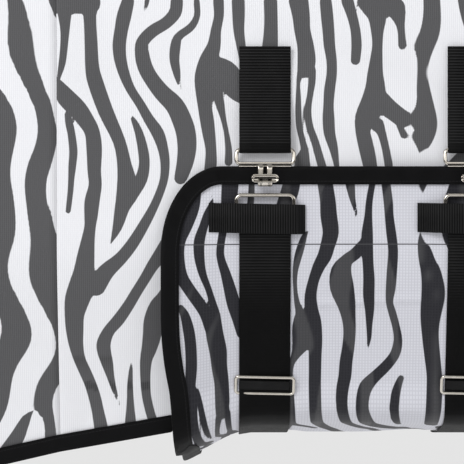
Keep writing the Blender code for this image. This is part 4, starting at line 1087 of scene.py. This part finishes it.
def flap_edge_place(station, inwards, lift):
    inward_x = FLAP_EDGE[:, 0] - FLAP_EDGE_RUN[:, 1] * inwards
    inward_s = FLAP_EDGE[:, 1] + FLAP_EDGE_RUN[:, 0] * inwards
    pucker = 0.00025 * np.sin(station * 0.9) * (lift > 0.004) * (inwards > 0.002)
    return flap_surface(inward_x, np.maximum(inward_s, 0.0), lift + pucker)


flap_tape = folded_tape(
    "flap_edge_tape", flap_edge_place, np.arange(len(FLAP_EDGE)) * 1.0, FLAP_LIFT - 0.0004,
    FLAP_LIFT + CLOTH + 3 * GAP + BINDING,
)
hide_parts("flap_binding")
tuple(FLAP_BEND[0])
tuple(FLAP_BEND[1])
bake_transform(flap_tape)

# ---- Tapes over the seams ----
# Black woven tape covers the back seam, the rump where the tail flap hangs, and the flap's far seam.
TAPE = 0.0016
tape_finish = black_weave("seam_tape", (0.007, 0.007, 0.008), 0.0012, 0.6)


def flat_tape(name, node, front, back):
    """Tape between two grids of points, (stations, across)."""
    rings = np.concatenate([front, back[:, ::-1]], axis=1)
    length = np.concatenate([[0], np.cumsum(np.linalg.norm(np.diff(front[:, 0], axis=0), axis=1))])
    across = np.concatenate([[0], np.cumsum(np.linalg.norm(np.diff(front[0], axis=0), axis=1))])
    across = np.concatenate([across, across[::-1]])
    made = swept(name, rings, np.stack(np.broadcast_arrays(length[:, None], across[None, :]), -1), tape_finish)
    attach(made, "sheet")
    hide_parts(node)
    return made


back_line = body_surface(np.linspace(REAR_X - 0.07, SHOULDER_X, 120), 0.0)
widths = np.array((-0.019, -0.0187, 0.0, 0.0187, 0.019))
crown = np.array((0.0003, 0.0, 0.0, 0.0, 0.0003))
back_top = np.stack(np.broadcast_arrays(
    back_line[:, None, 0], widths[None], back_line[:, None, 2] + 2 * GAP + TAPE - crown[None]), -1)
back_tape = flat_tape("back_seam_tape", "back_tape", back_top, back_top - np.array((0, 0, TAPE - 0.0003)))
rump_downs = np.array((0.34, 0.27, 0.2, 0.14, 0.08, 0.03))
rump_x = np.linspace(REAR_X - 0.07 + 0.006, REAR_X, 24)[:, None]
rump_sides = [
    raised(body_surface, rump_x, rump_downs[None], rump_x * 0 + rump_downs * 0 + lift, (SHOULDER_X, REAR_X))
    for lift in (GAP + TAPE, GAP)
]
rump_grids = []
for lift, side in zip((GAP + TAPE, GAP), rump_sides):
    middle = body_surface(rump_x, rump_x * 0) + np.array((0, 0, lift))
    rump_grids.append(np.concatenate([side, middle, side[:, ::-1] * np.array((1, -1, 1))], axis=1))
rump_tape = flat_tape("rump_tape", "tail_tape", *rump_grids)
seam_x = np.linspace(FLAP_FRONT_X + NARROWING, FLAP_REAR_X - NARROWING, 60)[:, None]
seam_z = FLAP_SEAM_Z + 0.006 + np.array(
    (0.0, 0.0005, 0.5 * BINDING_WIDTH, BINDING_WIDTH - 0.0005, BINDING_WIDTH)
)
seam_front = np.stack(np.broadcast_arrays(seam_x, HALF_WIDTH + GAP + 1.5 * BINDING + 0 * seam_z, seam_z), -1)
seam_tape = flat_tape("flap_far_tape", "flap_seam_tape", seam_front, seam_front - np.array((0, BINDING, 0)))

# ---- Webbing straps ----
# 50 mm black webbing with raised cross ribs. Each strap is one length, folded round a ring and sewn to
# itself. A shorter, finer piece is sewn over the loose ring's end to keep it in place.
WEBBING_WIDTH = 0.0495
WEBBING = 0.0015
ROD = 0.004
PLAY = 0.00025
RING_LONG = 0.059
RING_TALL = 0.018
RING_GAP = 0.0439
KEEPER_HEIGHT = 0.0279
KEEPER_LAP = 0.0056
RIB_PITCH = 0.0028
KEEPER_PITCH = 0.0024
BELLY_HOOK_Z = -0.4613
CHEST_CLOSURES_Z = (-0.53, -0.67)
webbing_finish = black_weave("ribbed_webbing", (0.016, 0.016, 0.0165), 0.0007, 0.5, None, True)


def belly_place(x):
    """Points of a belly closure: straight down the side panel, then along the flap."""
    def place(s, w, n):
        s, w, n = np.broadcast_arrays(np.asarray(s, float), np.asarray(w, float), np.asarray(n, float))
        length = s - (BELLY_HOOK_Z - FLAP_TOP)
        above = np.stack([x + w, -HALF_WIDTH - n, BELLY_HOOK_Z - s], -1)
        return np.where((length <= 0)[..., None], above, flap_surface(x + w, np.maximum(length, 0), n))
    return place


def chest_place(z):
    """Points of a chest closure: across the chest from the near side to the far side."""
    wide = float(half_width(SHOULDER_X))

    def outline(y):
        share = (1 - (np.abs(y) / wide) ** ROUNDNESS) ** (1 / ROUNDNESS)
        return np.stack([SHOULDER_X - CHEST_REACH * share, y, y * 0], -1)

    def place(s, w, n):
        s, w, n = np.broadcast_arrays(np.asarray(s, float), np.asarray(w, float), np.asarray(n, float))
        y = -0.030 + s
        along = outline(y + 0.003) - outline(y - 0.003)
        out = np.stack([-along[..., 1], along[..., 0], along[..., 0] * 0], -1)
        out /= np.linalg.norm(out, axis=-1, keepdims=True)
        return outline(y) + out * n[..., None] + np.stack([y * 0, y * 0, z - w], -1)
    return place


def fold_round_rod(rod_s, rod_n, towards, back_end):
    """The path of webbing up the back and round a rod, as (along, lift)."""
    radius = ROD / 2 + PLAY + WEBBING / 2
    turn = np.linspace(0, math.pi, 13)
    return [(back_end, rod_n - radius)] + [
        (rod_s + towards * radius * math.sin(t), rod_n - radius * math.cos(t)) for t in turn
    ]


def even_path(points, step):
    p = np.array(points)
    length = np.concatenate([[0], np.cumsum(np.linalg.norm(np.diff(p, axis=0), axis=1))])
    at = np.linspace(0, length[-1], max(round(length[-1] / step), 8))
    made = np.stack([np.interp(at, length, p[:, 0]), np.interp(at, length, p[:, 1])], -1)
    for _ in range(2):
        made[1:-1] = (made[:-2] + 2 * made[1:-1] + made[2:]) / 4
    return made, at


def webbing(name, place, path, ribs):
    """A strap along the path. ribs(along) gives the share of the ribs' full height, and where it is low the strap is
    also painted darker.
    """
    line, at = even_path(path, 0.0007)
    run = np.gradient(line, axis=0)
    run /= np.linalg.norm(run, axis=1, keepdims=True)
    half, thick = WEBBING_WIDTH / 2, WEBBING / 2
    wave = np.cos(2 * math.pi * at / RIB_PITCH) * ribs(line[:, 0])
    rib = 0.00024 * wave
    loop = [(-half, 0.35), (-half + 0.0005, 1), (-half * 0.5, 1), (0, 1), (half * 0.5, 1), (half - 0.0005, 1),
            (half, 0.35), (half, -0.35), (half - 0.0005, -1), (half * 0.5, -1), (0, -1), (-half * 0.5, -1),
            (-half + 0.0005, -1), (-half, -0.35)]
    rings = []
    for w, side in loop:
        level = side * thick + np.sign(side) * rib * (abs(side) > 0.5)
        rings.append(place(line[:, 0] - run[:, 1] * level, w, line[:, 1] + run[:, 0] * level))
    rings = np.stack(rings, 1)
    across = np.array([w for w, _ in loop])
    chart = np.stack(np.broadcast_arrays(at[:, None], across[None, :]), -1)
    # Painted light and shade: dark grooves and lit tops on the ribs, fading to an overall darker strap where
    # ribs(along) is low.
    height = np.clip((0.4 + 0.75 * wave) * (0.15 + 0.85 * ribs(line[:, 0])), 0, 1)
    return swept(name, rings, chart, webbing_finish, 60, height)


def keeper(name, place, middle, base):
    """The finer piece across the strap's end, with its ribs running the other way."""
    low, high = base + 2 * GAP + BINDING / 2, base + 2 * (ROD / 2 + PLAY + WEBBING) + 2 * GAP + BINDING / 2
    reach = RING_LONG / 2 + 0.0015
    route = [(-0.054, low), (-0.046, low), (-reach - 0.004, high - 0.0005), (-reach + 0.002, high), (0.0, high),
             (reach - 0.001, high), (0.0358, low), (0.0386, low)]
    line, at = even_path(route, 0.00035)
    run = np.gradient(line, axis=0)
    run /= np.linalg.norm(run, axis=1, keepdims=True)
    wave = np.cos(2 * math.pi * at / KEEPER_PITCH) * smooth((at[-1] - at) / 0.004) * smooth(at / 0.003)
    rib = 0.00015 * wave
    half = KEEPER_HEIGHT / 2
    loop = [(-half, 0.4), (-half + 0.0004, 1), (0, 1), (half - 0.0004, 1), (half, 0.4), (half, -0.4),
            (half - 0.0004, -1), (0, -1), (-half + 0.0004, -1), (-half, -0.4)]
    rings = []
    for s, side in loop:
        level = side * BINDING / 2 + np.sign(side) * rib * (abs(side) > 0.5)
        rings.append(place(middle + s + 0.02 * line[:, 0], line[:, 0] - run[:, 1] * level,
                           line[:, 1] + run[:, 0] * level))
    rings = np.stack(rings, 1)
    across = np.array([s for s, _ in loop])
    chart = np.stack(np.broadcast_arrays(at[:, None], across[None, :]), -1)
    # The keeper's rib values paint shade in its grooves and lighter rib tops.
    return swept(name, rings, chart, webbing_finish, 60, np.clip(0.5 + 0.6 * wave, 0, 1))


def strap_set(tag, place, hook_base, ring_base, strap_back, strap_end):
    """The three sewn pieces of one closure: hook strap, ring strap and keeper."""
    fold = ROD / 2 + PLAY + WEBBING / 2
    flat_n = hook_base + GAP + WEBBING / 2
    hook_n = flat_n + fold
    back = min(0.04, strap_back * 0.45)
    path = fold_round_rod(0.0, hook_n, 1, -back)
    path += [(-0.012, hook_n + fold - 0.0006), (-back - 0.001, flat_n + WEBBING + GAP), (-back - 0.012, flat_n),
             (-strap_back, flat_n)]
    upper = webbing(tag + "_upper_webbing", place, path, lambda s: 0.25 + 0.75 * smooth((-0.004 - s) / 0.003))
    rod_s = RING_GAP + RING_TALL - ROD
    low_n = ring_base + GAP + WEBBING / 2
    ring_n = low_n + fold
    back = rod_s + 0.022
    path = fold_round_rod(rod_s, ring_n, -1, back)
    path += [(rod_s + 0.008, ring_n + fold - 0.001), (back + 0.002, low_n + WEBBING + GAP), (back + 0.012, low_n + GAP),
             (strap_end, low_n + GAP)]
    # Down the ring strap the ribs flatten and the strap is painted darker towards its lower end, as painted shade.
    lower = webbing(tag + "_lower_webbing", place, path, lambda s: 1 - 0.9 * smooth((s - 0.09) / 0.08))
    cover = keeper(tag + "_keeper_webbing", place, rod_s - KEEPER_LAP + KEEPER_HEIGHT / 2, ring_base)
    for made, node in ((upper, "hook_strap"), (lower, "ring_strap"), (cover, "keeper")):
        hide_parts(f"{tag}_{node}")
        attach(made, "sheet" if node == "hook_strap" or tag.startswith("chest") else "belly_flap")
    return upper, lower, cover


BELLY_PLACES = [belly_place(x) for x in BELLY_CLOSURES_X]
CHEST_PLACES = [chest_place(z) for z in CHEST_CLOSURES_Z]
flap_straps, side_straps, chest_straps = [], [], []
for k, place in enumerate(BELLY_PLACES, 1):
    upper, lower, cover = strap_set(f"belly_{k}", place, 0.0, FLAP_LIFT + CLOTH, 0.099, FLAP_LENGTH / 2)
    side_straps.append(upper)
    flap_straps += [lower, cover]
for k, place in enumerate(CHEST_PLACES, 1):
    chest_straps += strap_set(f"chest_{k}", place, 0.0, 0.0, 0.085, 0.165)

# ---- Nickel fittings ----
# T-hooks are cast in one piece: an oblong ring, two prongs that curl forward, and a dished oval bar.
# The loose rings and the sliders are bent from round rod. All are nickel plated and polished.
STEM_STANDOFF = 0.0098
CURL_RADIUS = 0.0029
HOOK_REACH = 0.0317
T_LONG = 0.0262
T_TALL = 0.0082
SLIDER_LONG = 0.0597
SLIDER_TALL = 0.0205
SLIDER_ROD = 0.0034
nickel_finish = bpy.data.materials.new("nickel_plate")
nickel_finish.use_nodes = True
plating = nickel_finish.node_tree
plate = plating.nodes["Principled BSDF"]
plate.inputs["Metallic"].default_value = 1.0
stain = plating.nodes.new("ShaderNodeTexNoise")
stain.inputs["Scale"].default_value = 180.0
stain.inputs["Detail"].default_value = 3.0
where = plating.nodes.new("ShaderNodeTexCoord")
plating.links.new(where.outputs["Object"], stain.inputs["Vector"])
plating.links.new(
    mix_colour(plating.nodes, plating.links, stain.outputs["Fac"], (0.50, 0.46, 0.40), (0.74, 0.71, 0.66)),
    plate.inputs["Base Color"],
)
polish = plating.nodes.new("ShaderNodeMapRange")
polish.inputs["To Min"].default_value = 0.07
polish.inputs["To Max"].default_value = 0.18
plating.links.new(stain.outputs["Fac"], polish.inputs["Value"])
plating.links.new(polish.outputs[0], plate.inputs["Roughness"])


def coordinates(mesh):
    held = np.empty(len(mesh.vertices) * 3)
    mesh.vertices.foreach_get("co", held)
    return held.reshape(-1, 3)


def reshaped(made, points):
    made.data.vertices.foreach_set("co", np.asarray(points, float).ravel())
    made.data.update()


def oblong_ring(name, long, tall, rod, corner):
    """A ring of round rod across the strap, its middle at the origin: x across, y out, z against the strap."""
    bpy.ops.mesh.primitive_torus_add(
        major_segments=36, minor_segments=16, major_radius=corner, minor_radius=rod / 2,
        rotation=(0, 0, math.radians(5)),
    )
    made = bpy.context.object
    made.name = name
    bpy.ops.object.transform_apply(rotation=True)
    p = coordinates(made.data)
    p[:, 0] += np.sign(p[:, 0]) * (long / 2 - rod / 2 - corner)
    p[:, 1] += np.sign(p[:, 1]) * (tall / 2 - rod / 2 - corner)
    reshaped(made, np.stack([p[:, 0], -p[:, 2], p[:, 1]], -1))
    bpy.ops.object.shade_smooth()
    made.select_set(False)
    return made


def shifted(made, out, along, tilt=0.0):
    """The piece moved out and along, and leaned so that its far rod stands out by the tilt."""
    p = coordinates(made.data)
    p[:, 1] += out + tilt * p[:, 2]
    p[:, 2] += along
    reshaped(made, p)
    return made


def prong(across, rod_n, half_wide=0.0016):
    """One of the two flat prongs of a T-hook's stem: down, and curled forward at its end. Without rod_n it is
    the web between them at the curl."""
    path = [(0.0262, STEM_STANDOFF)]
    if rod_n:
        path = [(RING_TALL - ROD - 0.0006, rod_n + 0.0024), (0.0170, STEM_STANDOFF - 0.0004), (0.0195, STEM_STANDOFF)]
    for t in np.linspace(0, math.pi, 13):
        path.append((HOOK_REACH + CURL_RADIUS * math.sin(t), STEM_STANDOFF + CURL_RADIUS * (1 - math.cos(t))))
    path.append((HOOK_REACH - 0.0034, STEM_STANDOFF + 2 * CURL_RADIUS))
    bpy.ops.curve.primitive_bezier_curve_add()
    made = bpy.context.object
    curve = made.data
    curve.splines.clear()
    line = curve.splines.new("POLY")
    line.points.add(len(path) - 1)
    for point, (s, n) in zip(line.points, path):
        point.co = (s, n, 0.0, 1.0)
    curve.dimensions = "2D"
    curve.fill_mode = "NONE"
    curve.extrude = half_wide
    curve.bevel_depth = 0.0011
    curve.bevel_resolution = 3
    bpy.ops.object.convert(target="MESH")
    made = bpy.context.object
    p = coordinates(made.data)
    reshaped(made, np.stack([across - p[:, 2], p[:, 1], p[:, 0]], -1))
    return made


def oval_bar():
    """The cross bar: an oval with a raised rim and a dished face."""
    bpy.ops.mesh.primitive_cylinder_add(vertices=48, radius=T_TALL / 2, depth=0.0040)
    made = bpy.context.object
    p = coordinates(made.data)
    p[:, 0] += np.sign(np.where(np.abs(p[:, 0]) < 1e-5, 0, p[:, 0])) * (T_LONG - T_TALL) / 2
    reshaped(made, p)
    bpy.ops.object.mode_set(mode="EDIT")
    bpy.ops.mesh.select_mode(type="FACE")
    bpy.ops.mesh.select_all(action="DESELECT")
    bpy.ops.object.mode_set(mode="OBJECT")
    for face in made.data.polygons:
        face.select = face.normal.z > 0.9
    bpy.ops.object.mode_set(mode="EDIT")
    bpy.ops.mesh.inset(thickness=0.0011)
    bpy.ops.mesh.inset(thickness=0.0009)
    bpy.ops.transform.translate(value=(0, 0, -0.0018))
    bpy.ops.object.mode_set(mode="OBJECT")
    edge = made.modifiers.new("edge", "BEVEL")
    edge.width = 0.0006
    edge.segments = 3
    edge.limit_method = "ANGLE"
    bpy.ops.object.modifier_apply(modifier="edge")
    p = coordinates(made.data)
    reshaped(made, np.stack([p[:, 0], p[:, 2], -p[:, 1]], -1))
    return made


def joined(name, pieces):
    bpy.ops.object.select_all(action="DESELECT")
    for piece in pieces:
        piece.select_set(True)
    bpy.context.view_layer.objects.active = pieces[0]
    bpy.ops.object.join()
    made = bpy.context.object
    made.name = name
    bpy.ops.object.shade_smooth_by_angle(angle=math.radians(50))
    made.select_set(False)
    return made


def t_hook_pattern(rod_n):
    middle = (RING_TALL - ROD) / 2
    ring = shifted(oblong_ring("ring_of_hook", RING_LONG, RING_TALL, ROD, 0.0046), rod_n + 0.0012, middle, 0.17)
    bpy.ops.mesh.primitive_cube_add(size=1)
    block = bpy.context.object
    p = coordinates(block.data) * np.array((0.0510, 0.0032, 0.0050))
    reshaped(block, p + np.array((0, rod_n + 0.0030, RING_TALL - ROD + 0.0004)))
    round_off = block.modifiers.new("round_off", "BEVEL")
    round_off.width = 0.0009
    round_off.segments = 3
    bpy.ops.object.modifier_apply(modifier="round_off")
    block.select_set(False)
    prongs = [prong(-0.0043, rod_n), prong(0.0043, rod_n), prong(0.0, None, 0.0052)]
    bar = shifted(oval_bar(), STEM_STANDOFF + 2 * CURL_RADIUS + 0.0006, HOOK_REACH - T_TALL / 2 + 0.0003)
    return joined("t_hook_pattern", [ring, block, *prongs, bar])


def slider_wrap_pattern():
    """The strap's own loop round the slider's hidden middle bar."""
    bpy.ops.mesh.primitive_cube_add(size=1)
    made = bpy.context.object
    reshaped(made, coordinates(made.data) * np.array((0.0485, 0.0034, 0.0092)))
    soft = made.modifiers.new("soft", "BEVEL")
    soft.width = 0.0012
    soft.segments = 4
    bpy.ops.object.modifier_apply(modifier="soft")
    bpy.ops.object.shade_smooth_by_angle(angle=math.radians(50))
    # A flat rib value of 0.6 gives the wrap an even share of the webbing's painted rib shade, darker than a lit rib
    # top.
    held = made.data.attributes.new("rib", "FLOAT", "POINT")
    held.data.foreach_set("value", np.full(len(made.data.vertices), 0.6, np.float32))
    chart = made.data.uv_layers.new(name="weave")
    corners = np.array([loop.vertex_index for loop in made.data.loops])
    uv = coordinates(made.data)[corners][:, [2, 0]]
    chart.data.foreach_set("uv", uv.astype(np.float32).ravel())
    made.select_set(False)
    return made


def frame_at(place, s):
    """The matrix from a fitting's own (across, out, along) axes to that point of the strap."""
    origin = Vector(place(s, 0.0, 0.0))
    along = (Vector(place(s + 0.002, 0.0, 0.0)) - Vector(place(s - 0.002, 0.0, 0.0))).normalized()
    out = (Vector(place(s, 0.0, 0.01)) - origin).normalized()
    out = (out - along * out.dot(along)).normalized()
    made = Matrix((out.cross(along), out, along)).transposed().to_4x4()
    made.translation = origin
    return made


def fitted(pattern, name, matrix, finish, body, node=None):
    """A copy of the pattern with its own mesh, set in place on one body."""
    made = bpy.data.objects.new(name, pattern.data.copy())
    made.data.transform(matrix)
    made.data.materials.clear()
    made.data.materials.append(finish)
    bpy.context.scene.collection.objects.link(made)
    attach(made, body)
    if node:
        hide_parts(node)
    return made


fold = ROD / 2 + PLAY + WEBBING / 2
FLAT = GAP + WEBBING / 2 + fold
hook_pattern = t_hook_pattern(FLAT)
ring_pattern = shifted(oblong_ring("ring_pattern", RING_LONG, RING_TALL, ROD, 0.0050), 0.0, -(RING_TALL - ROD) / 2)
slider_pattern = oblong_ring("slider_pattern", SLIDER_LONG, SLIDER_TALL, SLIDER_ROD, 0.0030)
wrap_pattern = slider_wrap_pattern()
lean_over = Matrix.Rotation(math.radians(-1.3), 4, "Y")
for group, places, base, slider_s, slider_down in (
    ("belly", BELLY_PLACES, FLAP_LIFT + CLOTH, 0.2250, 0.0074), ("chest", CHEST_PLACES, 0.0, 0.115, 0.0),
):
    for k, place in enumerate(places, 1):
        rod_s = RING_GAP + RING_TALL - ROD
        slider_n = base + GAP + WEBBING + PLAY + SLIDER_ROD / 2
        fitted(hook_pattern, f"{group}_{k}_nickel_hook", frame_at(place, 0.0), nickel_finish,
               f"{group}_hook_{k}", f"{group}_{k}_t_hook")
        fitted(ring_pattern, f"{group}_{k}_nickel_ring",
               frame_at(place, rod_s) @ Matrix.Translation((0, base + FLAT, 0)), nickel_finish,
               f"{group}_ring_{k}", f"{group}_{k}_ring")
        seat = frame_at(place, slider_s) @ Matrix.Translation((0, slider_n, slider_down)) @ lean_over
        fitted(slider_pattern, f"{group}_{k}_nickel_slider", seat, nickel_finish,
               f"{group}_slider_{k}", f"{group}_{k}_slider")
        fitted(wrap_pattern, f"{group}_{k}_slider_webbing", seat, webbing_finish,
               f"{group}_slider_{k}")
for pattern in (hook_pattern, ring_pattern, slider_pattern, wrap_pattern):
    bpy.data.objects.remove(pattern)

# ---- Tail flap ----
# A short panel of the same mesh, bound on three edges, that hangs from the rump over the tail.
TAIL_HALF_WIDTH = 0.14
TAIL_LENGTH = 0.42
TAIL_BOW = 0.03
TAIL_STANDOFF = 0.012
TAIL_BEND = ((1.328, 0.0, -0.058), (1.328, 0.0, -0.12))


def tail_surface(y, share, lift):
    y, share, lift = np.broadcast_arrays(*(np.asarray(a, float) for a in (y, share, lift)))
    bow = TAIL_BOW * np.sin(math.pi * 0.8 * share) - 0.012 * (y / TAIL_HALF_WIDTH) ** 2 * smooth(share)
    out = np.abs(y) / float(half_width(REAR_X))
    drop = 1 - (1 - out ** ROUNDNESS) ** (1 / ROUNDNESS)
    start = float(back_height(REAR_X))
    top = start + (WIDEST_Z - start) * drop
    z = top + (start - TAIL_LENGTH - top) * share
    return np.stack([REAR_X + TAIL_STANDOFF + bow + lift, y, z], -1)


tail_y, tail_share = np.meshgrid(np.linspace(-TAIL_HALF_WIDTH, TAIL_HALF_WIDTH, 70), np.linspace(0, 1, 105))
tail_edge = smooth(np.minimum(TAIL_HALF_WIDTH - np.abs(tail_y), (1 - tail_share) * TAIL_LENGTH) / 0.04)
tail_relief = creases(tail_y, tail_share * TAIL_LENGTH, 21, 0.003) * tail_edge * smooth(tail_share / 0.15)
tail_points = tail_surface(tail_y, tail_share, CLOTH + tail_relief)
tail_values = {
    "stripe": print_at(tail_share * TAIL_LENGTH + 0.6, tail_y + 0.1, None, 31), "behind": tail_y * 0,
    "seam": tail_y * 0 + 1,
}
tail_grids = flip_if_needed(
    [tail_points, np.stack([tail_y, tail_share * TAIL_LENGTH], -1), *tail_values.values()], tail_points,
    lambda p: p * 0 + np.array((1.0, 0, 0)),
)
tail_cloth = cloth_grid(
    "tail_flap_cloth", tail_grids[0], tail_grids[1], dict(zip(tail_values, tail_grids[2:])), body_mesh_finish
)
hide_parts("tail_flap_panel")
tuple(TAIL_BEND[0])
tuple(TAIL_BEND[1])
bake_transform(tail_cloth)


def tail_edge_line():
    """(y, share) down one side, along the lower edge, and up the other side."""
    side = np.linspace(0.004, 1, 60)
    across = np.linspace(-TAIL_HALF_WIDTH, TAIL_HALF_WIDTH, 50)[1:-1]
    return np.vstack([np.stack([side * 0 - TAIL_HALF_WIDTH, side], -1), np.stack([across, across * 0 + 1], -1),
                      np.stack([side * 0 + TAIL_HALF_WIDTH, side[::-1]], -1)])


TAIL_EDGE = tail_edge_line()


def tail_edge_place(station, inwards, lift):
    inner = (TAIL_HALF_WIDTH - inwards) / TAIL_HALF_WIDTH
    share = np.minimum(TAIL_EDGE[:, 1], 1 - inwards / TAIL_LENGTH * smooth((TAIL_EDGE[:, 1] - 0.9) / 0.1))
    return tail_surface(TAIL_EDGE[:, 0] * inner, share, lift)


tail_binding = folded_tape(
    "tail_edge_tape", tail_edge_place, np.arange(len(TAIL_EDGE)) * 1.0, 0.0002, CLOTH + 2 * GAP + BINDING
)
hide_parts("tail_flap_binding")
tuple(TAIL_BEND[0])
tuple(TAIL_BEND[1])
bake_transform(tail_binding)

# ---- Wither pad ----
# A soft pad of black synthetic fleece sewn under the sheet at the withers, so that it doesn't rub there.
fleece_finish = bpy.data.materials.new("fleece_pile")
fleece_finish.use_nodes = True
pile = fleece_finish.node_tree
pile_shader = pile.nodes["Principled BSDF"]
tufts = pile.nodes.new("ShaderNodeTexNoise")
tufts.inputs["Scale"].default_value = 420.0
tufts.inputs["Detail"].default_value = 6.0
pad_place = pile.nodes.new("ShaderNodeTexCoord")
pile.links.new(pad_place.outputs["Object"], tufts.inputs["Vector"])
pile.links.new(
    mix_colour(pile.nodes, pile.links, tufts.outputs["Fac"], (0.008, 0.008, 0.009), (0.06, 0.06, 0.063)),
    pile_shader.inputs["Base Color"],
)
rise = pile.nodes.new("ShaderNodeBump")
rise.inputs["Distance"].default_value = 0.0012
pile.links.new(tufts.outputs["Fac"], rise.inputs["Height"])
pile.links.new(rise.outputs[0], pile_shader.inputs["Normal"])
pile_shader.inputs["Roughness"].default_value = 0.95
pile_shader.inputs["Specular IOR Level"].default_value = 0.1
pile_shader.inputs["Sheen Weight"].default_value = 0.3

PAD_SIZE = np.array((0.12, 0.09, 0.0105))
bpy.ops.mesh.primitive_cube_add(size=1)
pad = bpy.context.object
pad.name = "fleece_wither_pad"
reshaped(pad, coordinates(pad.data) * PAD_SIZE + np.array((0, 0, PAD_SIZE[2] / 2)))
corners_off = pad.modifiers.new("corners_off", "BEVEL")
corners_off.width = 0.0042
corners_off.segments = 4
bpy.ops.object.modifier_apply(modifier="corners_off")
bpy.ops.object.mode_set(mode="EDIT")
bpy.ops.mesh.select_all(action="SELECT")
bpy.ops.mesh.subdivide(number_cuts=24)
bpy.ops.object.mode_set(mode="OBJECT")
pad_points = coordinates(pad.data)
pad_chance = np.random.RandomState(4)
waves = np.zeros(len(pad_points))
for _ in range(16):
    way_x, way_y, start = pad_chance.uniform(-900, 900), pad_chance.uniform(-900, 900), pad_chance.uniform(0, 6)
    waves += np.sin(pad_points[:, 0] * way_x + pad_points[:, 1] * way_y + start) / 16
pad_points[:, 2] += 0.0007 * waves * np.sin(math.pi * np.clip(pad_points[:, 2] / PAD_SIZE[2], 0, 1))
reshaped(pad, pad_points)
bpy.ops.object.shade_smooth()
pad.data.materials.append(fleece_finish)
pad.select_set(False)
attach(pad, "sheet")
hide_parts("wither_pad")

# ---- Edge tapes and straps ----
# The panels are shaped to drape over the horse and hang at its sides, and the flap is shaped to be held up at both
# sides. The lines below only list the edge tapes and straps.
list(edge_tapes["near"])
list(side_straps)
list(edge_tapes["far"])
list(flap_straps)
